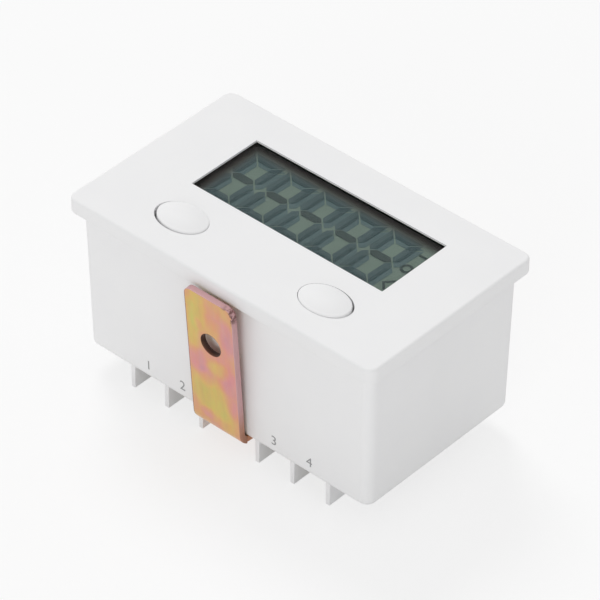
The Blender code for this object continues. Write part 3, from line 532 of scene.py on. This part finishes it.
strapForm = {
    "width": 10.05 * mm,
    "thickness": 1.1 * mm,
    "centreX": -0.12 * mm,
    "bendRadius": 1.8 * mm,
    "bendSteps": 12,
    "sideY": 18.35 * mm,
    "baseTop": 3.85 * mm,
    "tipZ": 31.8 * mm,
    "lean": math.radians(4.0),
    "cornerRadius": 1.3 * mm,
    "cornerSteps": 10,
    "holeRadius": 2.1 * mm,
    "holeSteps": 56,
    "holeZ": 22.15 * mm,
    "screwHole": 1.75 * mm,
    "screwHoleSteps": 40,
    "neckInset": 0.4 * mm,
    "neckReach": 17.19 * mm,
    "punchDepth": 4.4 * mm,
    "flatAngle": math.radians(0.3),
    "smoothAngle": 32,
    "edge": 0.14 * mm,
    "edgeSteps": 3,
    "edgeAngle": math.radians(40),
}
# drifts of colour along the arms: middle x and z in mm, reach in x and z, and how far each moves the tone
strapDrifts = (
    (-3.0, 28.6, 2.4, 5.4, -0.3),
    (-3.9, 22.5, 1.5, 4.4, -0.22),
    (-2.6, 25.4, 1.0, 1.2, 0.2),
    (2.0, 27.6, 3.0, 3.4, 0.06),
    (3.6, 24.0, 2.2, 5.0, 0.24),
    (-0.4, 21.6, 3.2, 3.4, 0.1),
    (-3.4, 17.4, 2.4, 2.8, 0.26),
    (-1.6, 14.6, 2.0, 2.4, 0.24),
    (1.2, 17.6, 2.4, 2.0, -0.2),
    (-0.9, 10.8, 4.4, 5.0, -0.36),
    (3.6, 13.6, 2.2, 5.6, 0.26),
    (-1.8, 6.8, 1.7, 1.3, 0.3),
    (2.6, 6.4, 2.4, 3.0, -0.2),
)
strapLook = {
    "tones": (
        (0.05, linear(200, 184, 92)),
        (0.3, linear(216, 178, 96)),
        (0.52, linear(218, 158, 112)),
        (0.74, linear(216, 146, 138)),
        (0.98, linear(200, 138, 154)),
    ),
    "middle": 0.5,
    "driftFade": 1.3,
    "patchScale": 190.0,
    "patchLift": 0.5,
    "fineScale": 620.0,
    "fineStretch": (1.0, 1.0, 0.25),
    "mottle": 0.26,
    "roughness": (0.3, 0.5),
}
# the cut faces round the outline and at the foot: each one's tone, and where it starts; in the hole, the
# painted shade on its wall, and where it starts
strapCut = {
    "reach": (1.12 * mm, 1.26 * mm),
    "tone": linear(202, 158, 160),
    "footTone": linear(182, 130, 104),
    "foot": (5.5 * mm, 12.0 * mm),
    "holeShadeReach": (2.08 * mm, 2.2 * mm),
    "holeShadeTone": linear(70, 42, 34),
}
# the sheared left edge carries a painted shade, and one top corner of the front arm is scuffed
strapShadeAndScuff = {
    "tone": linear(112, 70, 66),
    "shadedEdgeStart": (-5.02 * mm, -4.99 * mm),
    "shadedEdgeEnd": (-4.9 * mm, -4.82 * mm),
    "shadedEdgeShare": 0.75,
    "cornerX": 4.7 * mm,
    "cornerZ": 30.9 * mm,
    "cornerReach": (0.7 * mm, 2.4 * mm),
    "cornerBand": (0.82 * mm, 1.08 * mm),
    "speckScale": 1500.0,
    "speckCut": (0.4, 0.62),
    "frontArm": (-1.0 * mm, 1.0 * mm),
}


def driftingTone(tree, patch, x, z):
    # 0 to 1 along the ramp of tones: a soft noise, moved by each drift that is near
    look = strapLook
    tone = calc(tree, "SUBTRACT", patch, 0.5)
    tone = calc(tree, "ADD", calc(tree, "MULTIPLY", tone, look["patchLift"]), look["middle"])
    for middleX, middleZ, reachX, reachZ, lift in strapDrifts:
        across = calc(tree, "DIVIDE", calc(tree, "SUBTRACT", x, middleX * mm), reachX * mm)
        along = calc(tree, "DIVIDE", calc(tree, "SUBTRACT", z, middleZ * mm), reachZ * mm)
        near = softStep(tree, sumOfSquares(tree, across, along), 0.0, look["driftFade"], lift, 0.0)
        tone = calc(tree, "ADD", tone, near)
    return tone


def distanceTo(tree, x, z, placeX, placeZ):
    # how far a point of an arm is from one place on it
    across = calc(tree, "SUBTRACT", x, placeX)
    upwards = calc(tree, "SUBTRACT", z, placeZ)
    return calc(tree, "SQRT", sumOfSquares(tree, across, upwards))


def buildPassivatedZinc():
    # yellow chromate over zinc: drifts of olive, straw, salmon and lilac along each arm
    form, look, cut, shadeAndScuff = strapForm, strapLook, strapCut, strapShadeAndScuff
    material, tree, shader, place = startMaterial(
        "passivatedZinc", {"Metallic": 0.62, "IOR": 1.9, "Coat Weight": 0.15, "Coat Roughness": 0.12}
    )
    patch = addNode(
        tree, "ShaderNodeTexNoise", {"Scale": look["patchScale"], "Detail": 2.0, "Distortion": 0.8}
    )
    stretch = addNode(tree, "ShaderNodeMapping", {"Scale": look["fineStretch"]})
    fine = addNode(
        tree, "ShaderNodeTexNoise", {"Scale": look["fineScale"], "Detail": 4.0, "Roughness": 0.65}
    )
    speck = addNode(tree, "ShaderNodeTexNoise", {"Scale": shadeAndScuff["speckScale"], "Detail": 2.0})
    axes = addNode(tree, "ShaderNodeSeparateXYZ")
    for reader in (patch, stretch, speck, axes):
        join(tree, place, "Object", reader, "Vector")
    join(tree, stretch, "Vector", fine, "Vector")
    x, z = axes.outputs["X"], axes.outputs["Z"]

    ramp = addNode(tree, "ShaderNodeValToRGB")
    fillRamp(ramp, look["tones"])
    tree.links.new(driftingTone(tree, patch.outputs["Fac"], x, z), ramp.inputs["Fac"])
    flat = colourMix(tree, look["mottle"], ramp.outputs["Color"], fine.outputs["Color"], "OVERLAY")

    # fromFlat is nothing in the flat middle of an arm, and the corner radius at its outline
    fromMiddle = calc(tree, "SUBTRACT", x, form["centreX"])
    flatHalf = form["width"] / 2 - form["cornerRadius"]
    sideways = calc(tree, "MAXIMUM", calc(tree, "SUBTRACT", calc(tree, "ABSOLUTE", fromMiddle), flatHalf))
    upwards = calc(tree, "MAXIMUM", calc(tree, "SUBTRACT", z, form["tipZ"] - form["cornerRadius"]))
    fromFlat = calc(tree, "SQRT", sumOfSquares(tree, sideways, upwards))
    cutTone = colourMix(tree, softStep(tree, z, *cut["foot"]), cut["footTone"], cut["tone"])
    edged = colourMix(tree, softStep(tree, fromFlat, *cut["reach"]), flat, cutTone)

    # painted shade: a thin dark line along the strap's left edge
    line = calc(tree, "MULTIPLY", softStep(tree, fromMiddle, *shadeAndScuff["shadedEdgeStart"]), shadeAndScuff["shadedEdgeShare"])
    line = calc(tree, "MULTIPLY", line, softStep(tree, fromMiddle, *shadeAndScuff["shadedEdgeEnd"], 1.0, 0.0))
    fromCorner = distanceTo(tree, fromMiddle, z, shadeAndScuff["cornerX"], shadeAndScuff["cornerZ"])
    scuff = softStep(tree, fromCorner, *shadeAndScuff["cornerReach"], 1.0, 0.0)
    for limit in (
        softStep(tree, fromFlat, *shadeAndScuff["cornerBand"]),
        softStep(tree, speck.outputs["Fac"], *shadeAndScuff["speckCut"]),
        softStep(tree, axes.outputs["Y"], *shadeAndScuff["frontArm"], 1.0, 0.0),
    ):
        scuff = calc(tree, "MULTIPLY", scuff, limit)
    edged = colourMix(tree, calc(tree, "MAXIMUM", line, scuff), edged, shadeAndScuff["tone"])

    # painted shade: the wall of the hole is darkened as if in shadow
    fromHole = distanceTo(tree, fromMiddle, z, 0.0, form["holeZ"])
    coloured = colourMix(tree, softStep(tree, fromHole, *cut["holeShadeReach"]), cut["holeShadeTone"], edged)
    tree.links.new(coloured, shader.inputs["Base Color"])
    tree.links.new(between(tree, fine.outputs["Fac"], *look["roughness"]), shader.inputs["Roughness"])
    bump = addNode(tree, "ShaderNodeBump", {"Strength": 0.1, "Distance": bumpDepth})
    join(tree, fine, "Fac", bump, "Height")
    join(tree, bump, "Normal", shader, "Normal")
    return material


passivatedZinc = buildPassivatedZinc()


def strapLine(form, baseZ):
    # the strap's bent middle line in y and z, from the tip of one arm to the tip of the other
    middleRadius = form["bendRadius"] + form["thickness"] / 2
    turn = math.pi / 2 - form["lean"]
    half = [(0.0, baseZ)]
    for index in range(form["bendSteps"] + 1):
        angle = turn * index / form["bendSteps"]
        across = form["sideY"] - middleRadius + middleRadius * math.sin(angle)
        half.append((across, baseZ + middleRadius * (1 - math.cos(angle))))
    lastY, lastZ = half[-1]
    rise = form["tipZ"] - lastZ
    half.append((lastY + rise * math.tan(form["lean"]), form["tipZ"]))
    return [(-y, z) for y, z in reversed(half[1:])] + half


def strapPunches(form, baseZ, tipY):
    # the hole in each arm, the screw's hole in the base, and the two notches that neck the base
    punch = bmesh.new()
    holeY = tipY - (form["tipZ"] - form["holeZ"]) * math.tan(form["lean"])
    holes = []
    for side in (-1, 1):
        place = Matrix.Translation((form["centreX"], side * holeY, form["holeZ"]))
        tilt = Matrix.Rotation(side * -form["lean"], 4, "X") @ Matrix.Rotation(math.pi / 2, 4, "X")
        holes.append((form["holeRadius"], form["holeSteps"], place @ tilt))
    base = Matrix.Translation((form["centreX"], 0.0, baseZ))
    holes.append((form["screwHole"], form["screwHoleSteps"], base))
    for radius, steps, place in holes:
        bmesh.ops.create_cone(
            punch,
            cap_ends=True,
            segments=steps,
            radius1=radius,
            radius2=radius,
            depth=form["punchDepth"],
            matrix=place,
        )
    for side in (-1, 1):
        made = bmesh.ops.create_cube(punch, size=1.0)["verts"]
        notch = (2 * form["neckInset"], 2 * form["neckReach"], form["punchDepth"])
        bmesh.ops.scale(punch, verts=made, vec=notch)
        edgeX = form["centreX"] + side * form["width"] / 2
        bmesh.ops.translate(punch, verts=made, vec=(edgeX, 0.0, baseZ))
    return finishPiece(punch, "strapPunch", passivatedZinc)


def makeStrap():
    form = strapForm
    baseZ = form["baseTop"] - form["thickness"] / 2
    line = strapLine(form, baseZ)
    bm = bmesh.new()
    left = form["centreX"] - form["width"] / 2
    points = [bm.verts.new((left, y, z)) for y, z in line]
    edges = [bm.edges.new(pair) for pair in zip(points, points[1:])]
    swept = bmesh.ops.extrude_edge_only(bm, edges=edges)["geom"]
    moved = [item for item in swept if isinstance(item, bmesh.types.BMVert)]
    bmesh.ops.translate(bm, verts=moved, vec=(form["width"], 0.0, 0.0))
    corners = [vert for vert in bm.verts if abs(vert.co.z - form["tipZ"]) < weldReach]
    bmesh.ops.bevel(
        bm,
        geom=corners,
        offset=form["cornerRadius"],
        offset_type="OFFSET",
        affect="VERTICES",
        segments=form["cornerSteps"],
        profile=0.5,
        material=-1,
    )
    bmesh.ops.recalc_face_normals(bm, faces=bm.faces)
    strap = finishPiece(bm, "clampStrap", passivatedZinc)
    skin = strap.modifiers.new("thickness", "SOLIDIFY")
    skin.thickness = form["thickness"]
    skin.offset = 0.0
    skin.use_even_offset = True
    cutter = strapPunches(form, baseZ, line[-1][0])
    cut = strap.modifiers.new("holes", "BOOLEAN")
    cut.object = cutter
    cut.operation = "DIFFERENCE"
    cut.solver = "EXACT"
    bpy.context.view_layer.update()
    graph = bpy.context.evaluated_depsgraph_get()
    shaped = bpy.data.meshes.new_from_object(strap.evaluated_get(graph))
    strap.modifiers.clear()
    strap.data = shaped
    bpy.data.objects.remove(cutter)
    bm = bmesh.new()
    bm.from_mesh(shaped)
    bmesh.ops.remove_doubles(bm, verts=bm.verts, dist=weldReach)
    bmesh.ops.dissolve_limit(bm, angle_limit=form["flatAngle"], verts=bm.verts, edges=bm.edges)
    bm.to_mesh(shaped)
    bm.free()
    shaped.shade_smooth()
    shaped.set_sharp_from_angle(angle=math.radians(form["smoothAngle"]))
    soft = strap.modifiers.new("brokenEdges", "BEVEL")
    soft.width = form["edge"]
    soft.segments = form["edgeSteps"]
    soft.limit_method = "ANGLE"
    soft.angle_limit = form["edgeAngle"]
    soft.harden_normals = True
    return settle(strap, "strap", ("mounting_bracket",))


platedEdges = {"strapWasher": 0.08 * mm, "plate": 0.08 * mm, "washer": 0.06 * mm, "screw": 0.06 * mm}

makeStrap()
platedCopy("bracket_washer", "strapWasher", "strap", platedEdges["strapWasher"])
platedCopy("bracket_screw", "strapScrew", "strap_screw", platedEdges["screw"], wide=False)
print("strap made")


# Terminals

for number in range(1, 5):
    tag = str(number)
    platedCopy("terminal_plate_" + tag, "terminalPlate" + tag, "case", platedEdges["plate"])
    washer, screw = "terminalWasher" + tag, "terminalScrew" + tag
    platedCopy("terminal_washer_" + tag, washer, "wire_clamp_" + tag, platedEdges["washer"])
    platedCopy("terminal_screw_" + tag, screw, "clamp_screw_" + tag, platedEdges["screw"], wide=False)
    dressNode("terminal_nut_" + tag, turnedBrass)
    dressNode("terminal_lead_" + tag, redSheath if number % 2 else blackSheath)
    dressNode("board_screw_" + tag, plainSteel)
print("terminals made")


# Display

# places and sizes on the display in mm, and depths below the face in mm
digitForm = {
    "centres": (-15.63, -8.365, -1.1, 6.165, 13.43),
    "middleY": 4.18,
    "halfWidth": 3.15,
    "halfHeight": 6.42,
    "stroke": 1.55,
    "gap": 0.17,
    "slant": 0.035,
    "shadowShift": (0.92, -0.88),
    "smallestArea": 0.01,
    "lineHalf": 0.05,
    "gapDepths": (1.345, 1.355),
    "shadedGhostDepths": (1.306, 1.316),
    "inkDepths": (1.326, 1.342),
    "shadowDepths": (1.36, 1.38),
}


def addPlate(bm, outline, top, bottom):
    # a flat mark: its outline in mm on the display, and its depths below the face
    points = [bm.verts.new((x * mm, y * mm, faceZ - bottom * mm)) for x, y in outline]
    face = bm.faces.new(points)
    face.normal_update()
    if face.normal.z > 0:
        face.normal_flip()
    grown = bmesh.ops.extrude_face_region(bm, geom=[face])["geom"]
    raised = [item for item in grown if isinstance(item, bmesh.types.BMVert)]
    bmesh.ops.translate(bm, verts=raised, vec=(0.0, 0.0, (bottom - top) * mm))


def segmentOutlines(form):
    # the seven bars of a digit about its own middle, each cut off at 45 degrees
    w, h, s, g = form["halfWidth"], form["halfHeight"], form["stroke"], form["gap"]
    half = s / 2
    flat = [(-w + g, h), (w - g, h), (w - s - g, h - s), (-w + s + g, h - s)]
    bars = {"top": flat, "bottom": [(x, -y) for x, y in flat]}
    tip = w - half - g
    inner = w - s - g
    bars["middle"] = [(-tip, 0), (-inner, half), (inner, half), (tip, 0), (inner, -half), (-inner, -half)]
    upright = [(-w, h - g), (-w + s, h - s - g), (-w + s, half + g), (-w + half, g), (-w, half + g)]
    bars["upperLeft"] = upright
    bars["upperRight"] = [(-x, y) for x, y in upright]
    bars["lowerLeft"] = [(x, -y) for x, y in upright]
    bars["lowerRight"] = [(-x, -y) for x, y in upright]
    return bars


def outlineArea(outline):
    return sum(ax * by - bx * ay for (ax, ay), (bx, by) in zip(outline, outline[1:] + outline[:1])) / 2


def clipOutline(subject, window):
    # the part of one convex outline that lies inside another
    if outlineArea(window) < 0:
        window = window[::-1]
    kept = subject
    for (ax, ay), (bx, by) in zip(window, window[1:] + window[:1]):
        found = []
        for (px, py), (qx, qy) in zip(kept, kept[1:] + kept[:1]):
            sideP = (bx - ax) * (py - ay) - (by - ay) * (px - ax)
            sideQ = (bx - ax) * (qy - ay) - (by - ay) * (qx - ax)
            if sideP >= 0:
                found.append((px, py))
            if sideP * sideQ < 0:
                share = sideP / (sideP - sideQ)
                found.append((px + share * (qx - px), py + share * (qy - py)))
        kept = found
    return kept


def makeDigits():
    # unlit segments, their painted shadows on the ground, the darker painted shade where a segment lies
    # over a shadow, and the lit bars
    form = digitForm
    bars = segmentOutlines(form)
    shadowX, shadowY = form["shadowShift"]
    ghosts, shadows, gaps, lit = [], [], [], []

    def placedOn(centreX, outline):
        return [(centreX + x + form["slant"] * y, form["middleY"] + y) for x, y in outline]

    for centreX in form["centres"]:
        for name, outline in bars.items():
            placed = placedOn(centreX, outline)
            if name == "middle":
                lit.append(placed)
            else:
                ghosts.append(placed)
                shadows.append([(x + shadowX, y + shadowY) for x, y in placed])
        inner, outer = form["halfWidth"] - form["stroke"], form["halfWidth"]
        low, high = form["halfHeight"] - form["stroke"], form["halfHeight"]
        middle, half = outer - form["stroke"] / 2, form["stroke"] / 2
        step = form["lineHalf"]
        for side in (-1, 1):
            for start, end in (((inner, low), (outer, high)), ((middle, 0.0), (inner, -half))):
                (startX, startY), (endX, endY) = ((side * x, side * y) for x, y in (start, end))
                line = [
                    (startX + step, startY - step),
                    (startX - step, startY + step),
                    (endX - step, endY + step),
                    (endX + step, endY - step),
                ]
                gaps.append(placedOn(centreX, line))
    # painted shade: the part of each segment that lies over a painted shadow
    shadedGhosts = [clipOutline(ghost, shadow) for ghost in ghosts for shadow in shadows]
    shadedGhosts = [part for part in shadedGhosts if abs(outlineArea(part)) > form["smallestArea"]]
    for pieceName, outlines, depths, material in (
        ("ghostSegments", ghosts, "inkDepths", ghostInk),
        ("segmentShadows", shadows, "shadowDepths", shadowTone),
        ("shadedGhostSegments", shadedGhosts, "shadedGhostDepths", shadedGhostTone),
        ("segmentGaps", gaps, "gapDepths", gapTone),
        ("litSegments", lit, "inkDepths", litInk),
    ):
        bm = bmesh.new()
        for outline in outlines:
            addPlate(bm, outline, *form[depths])
        settle(finishPiece(bm, pieceName, material), "case")


makeDigits()

# three plain marks at the right edge, about a middle of their own: a bar, a ring and a chevron
signForm = {
    "x": 18.48,
    "y": 4.55,
    "barX": (-0.7, 1.2),
    "barY": (3.6, 4.1),
    "ringOuter": 1.1,
    "ringInner": 0.62,
    "ringSteps": 24,
    "chevronY": -4.83,
    "chevronRise": 1.5,
    "chevronPoint": (-0.8, -0.25),
    "chevronEnd": (0.55, 1.1),
}


def makeSigns():
    form = signForm
    bm = bmesh.new()
    middleX, middleY = form["x"], form["y"]

    def addSign(outline):
        addPlate(bm, [(middleX + x, middleY + y) for x, y in outline], *digitForm["inkDepths"])

    (left, right), (low, high) = form["barX"], form["barY"]
    addSign([(left, low), (right, low), (right, high), (left, high)])
    outer, inner, steps = form["ringOuter"], form["ringInner"], form["ringSteps"]
    for index in range(steps):
        start, end = (math.tau * (index + step) / steps for step in (0, 1))
        rim = ((outer, start), (outer, end), (inner, end), (inner, start))
        addSign([(radius * math.cos(turn), radius * math.sin(turn)) for radius, turn in rim])
    bmesh.ops.remove_doubles(bm, verts=bm.verts, dist=weldReach)
    (pointLeft, pointRight), (endLeft, endRight) = form["chevronPoint"], form["chevronEnd"]
    for rise in (form["chevronRise"], -form["chevronRise"]):
        low, far = form["chevronY"], form["chevronY"] + rise
        addSign([(pointLeft, low), (pointRight, low), (endRight, far), (endLeft, far)])
    settle(finishPiece(bm, "displaySigns", litInk), "case")


makeSigns()

for nodeName, material in (
    ("lcd_polarizer", polarizerFilm),
    ("lcd_front_glass", displayGlass),
    ("lcd_rear_glass", displayGround),
    ("lcd_reflector", reflectorFilm),
    ("lcd_frame", blackMoulding),
    ("elastomer_strip", stripRubber),
    ("circuit_board", boardLaminate),
    ("left_switch_body", blackMoulding),
    ("right_switch_body", blackMoulding),
    ("left_switch_plunger", blackMoulding),
    ("right_switch_plunger", blackMoulding),
    ("counter_chip", chipResin),
    ("crystal", plainSteel),
    ("filter_capacitor", canSleeve),
    ("battery_cell", cellSleeve),
    ("battery_tab_negative", nickelPlate),
    ("battery_tab_positive", nickelPlate),
    ("bracket_insert", turnedBrass),
):
    dressNode(nodeName, material)
print("display and inner pieces dressed")


# Terminal numbers, printed above the bays

numberInk = plastic("numberInk", (150, 151, 152), (142, 143, 144), 0.45, 0.6)
numberForm = {
    "size": 2.6 * mm,
    "depth": 0.02 * mm,
    "height": 6.7 * mm,
    "bays": (-16.675, -9.225, 10.425, 17.875),
    "wallTop": (-17.5 * mm, 31.6 * mm),  # y and z at the top of the drafted front wall
    "wallFoot": (-17.05 * mm, 4.15 * mm),
}


def makeNumber(number, bayX):
    form = numberForm
    pieceName = "terminalNumber%d" % number
    curve = bpy.data.curves.new(pieceName, "FONT")
    curve.body = str(number)
    curve.size = form["size"]
    curve.extrude = form["depth"] / 2
    curve.align_x = "CENTER"
    curve.align_y = "CENTER"
    source = bpy.data.objects.new("numberSource", curve)
    bpy.context.scene.collection.objects.link(source)
    bpy.context.view_layer.update()
    graph = bpy.context.evaluated_depsgraph_get()
    mesh = bpy.data.meshes.new_from_object(source.evaluated_get(graph))
    bpy.data.objects.remove(source)
    (topY, topZ), (footY, footZ) = form["wallTop"], form["wallFoot"]
    slope = (topY - footY) / (topZ - footZ)
    wallY = footY + slope * (form["height"] - footZ)
    lean = -math.atan(slope)
    place = Matrix.Translation((bayX * mm, wallY - form["depth"] / 2, form["height"]))
    mesh.transform(place @ Matrix.Rotation(math.pi / 2 + lean, 4, "X"))
    mesh.materials.clear()
    mesh.materials.append(numberInk)
    piece = bpy.data.objects.new(pieceName, mesh)
    bpy.context.scene.collection.objects.link(piece)
    settle(piece, "case")


for number, bayX in enumerate(numberForm["bays"], start=1):
    makeNumber(number, bayX)
print("numbers printed")


# Floor, lights and camera

studio = {
    "floorTone": (238, 238, 238),
    "floorHalf": 3.0,
    "floorDrop": 0.05 * mm,
    "floorGlow": 0.72,
    "world": 0.63,
    "lamps": (
        {"name": "backKey", "from": (-0.55, 0.36, 0.8), "spread": 24.0, "strength": 1.2, "gloss": False},
        {"name": "frontFill", "from": (0.35, -0.85, 0.3), "spread": 30.0, "strength": 0.64, "gloss": True},
    ),
}


def seenDirectly(tree):
    # 1 for what the camera sees straight, in a gloss or through glass, and 0 for light that falls on things
    light = addNode(tree, "ShaderNodeLightPath")
    seen = calc(tree, "MAXIMUM", light.outputs["Is Camera Ray"], light.outputs["Is Glossy Ray"])
    return calc(tree, "MAXIMUM", seen, light.outputs["Is Transmission Ray"])


def mixShaders(tree, share, first, second):
    mix = addNode(tree, "ShaderNodeMixShader")
    for index, source in enumerate((share, first.outputs[0], second.outputs[0])):
        tree.links.new(source, mix.inputs[index])
    return mix.outputs[0]


def makeFloor():
    bm = bmesh.new()
    bmesh.ops.create_grid(bm, x_segments=2, y_segments=2, size=studio["floorHalf"])
    bmesh.ops.translate(bm, verts=bm.verts, vec=(0.0, 0.0, -studio["floorDrop"]))
    material = bpy.data.materials.new("paleFloor")
    material.use_nodes = True
    tree = material.node_tree
    shader = tree.nodes["Principled BSDF"]
    shader.inputs["Base Color"].default_value = linear(*studio["floorTone"])
    shader.inputs["Roughness"].default_value = 0.9
    shader.inputs["Specular IOR Level"].default_value = 0.0
    glow = addNode(tree, "ShaderNodeEmission", {"Color": (1, 1, 1, 1), "Strength": 1.0})
    share = calc(tree, "MULTIPLY", seenDirectly(tree), studio["floorGlow"])
    surface = tree.nodes["Material Output"].inputs["Surface"]
    tree.links.new(mixShaders(tree, share, shader, glow), surface)
    floor = finishPiece(bm, "floor", material)


def makeWorld():
    world = bpy.data.worlds.new("studio")
    bpy.context.scene.world = world
    world.use_nodes = True
    tree = world.node_tree
    tree.nodes.clear()
    out = addNode(tree, "ShaderNodeOutputWorld")
    soft = addNode(tree, "ShaderNodeBackground", {"Color": (1, 1, 1, 1), "Strength": studio["world"]})
    white = addNode(tree, "ShaderNodeBackground", {"Color": (1, 1, 1, 1), "Strength": 1.0})
    tree.links.new(mixShaders(tree, seenDirectly(tree), soft, white), out.inputs["Surface"])


def makeLamps():
    for lamp in studio["lamps"]:
        data = bpy.data.lights.new(lamp["name"], "SUN")
        data.angle = math.radians(lamp["spread"])
        data.energy = lamp["strength"]
        sun = bpy.data.objects.new(lamp["name"], data)
        bpy.context.scene.collection.objects.link(sun)
        sun.visible_glossy = lamp["gloss"]
        sun.rotation_mode = "QUATERNION"
        sun.rotation_quaternion = (-Vector(lamp["from"])).to_track_quat("-Z", "Y")


cameraForm = {
    "place": (0.34336, -0.38117, 0.44139),
    "azimuth": 41.978,
    "elevation": 39.457,
    "roll": 0.257,
    "lens": 251.92,
    "sensor": 36.0,
    "nearest": 0.01,
    "farthest": 20.0,
}


def makeCamera():
    view = cameraForm
    turn, tilt, roll = (math.radians(view[key]) for key in ("azimuth", "elevation", "roll"))
    back = Vector((math.sin(turn) * math.cos(tilt), -math.cos(turn) * math.cos(tilt), math.sin(tilt)))
    right = Vector((math.cos(turn), math.sin(turn), 0.0))
    up = back.cross(right)
    rightRolled = math.cos(roll) * right + math.sin(roll) * up
    upRolled = -math.sin(roll) * right + math.cos(roll) * up
    data = bpy.data.cameras.new("camera")
    data.lens = view["lens"]
    data.sensor_width = view["sensor"]
    data.clip_start = view["nearest"]
    data.clip_end = view["farthest"]
    camera = bpy.data.objects.new("camera", data)
    bpy.context.scene.collection.objects.link(camera)
    basis = Matrix((rightRolled, upRolled, back)).transposed().to_4x4()
    camera.matrix_world = Matrix.Translation(view["place"]) @ basis
    bpy.context.scene.camera = camera


makeFloor()
makeWorld()
makeLamps()
makeCamera()
bpy.context.scene.view_settings.view_transform = "Standard"
print("studio set up")
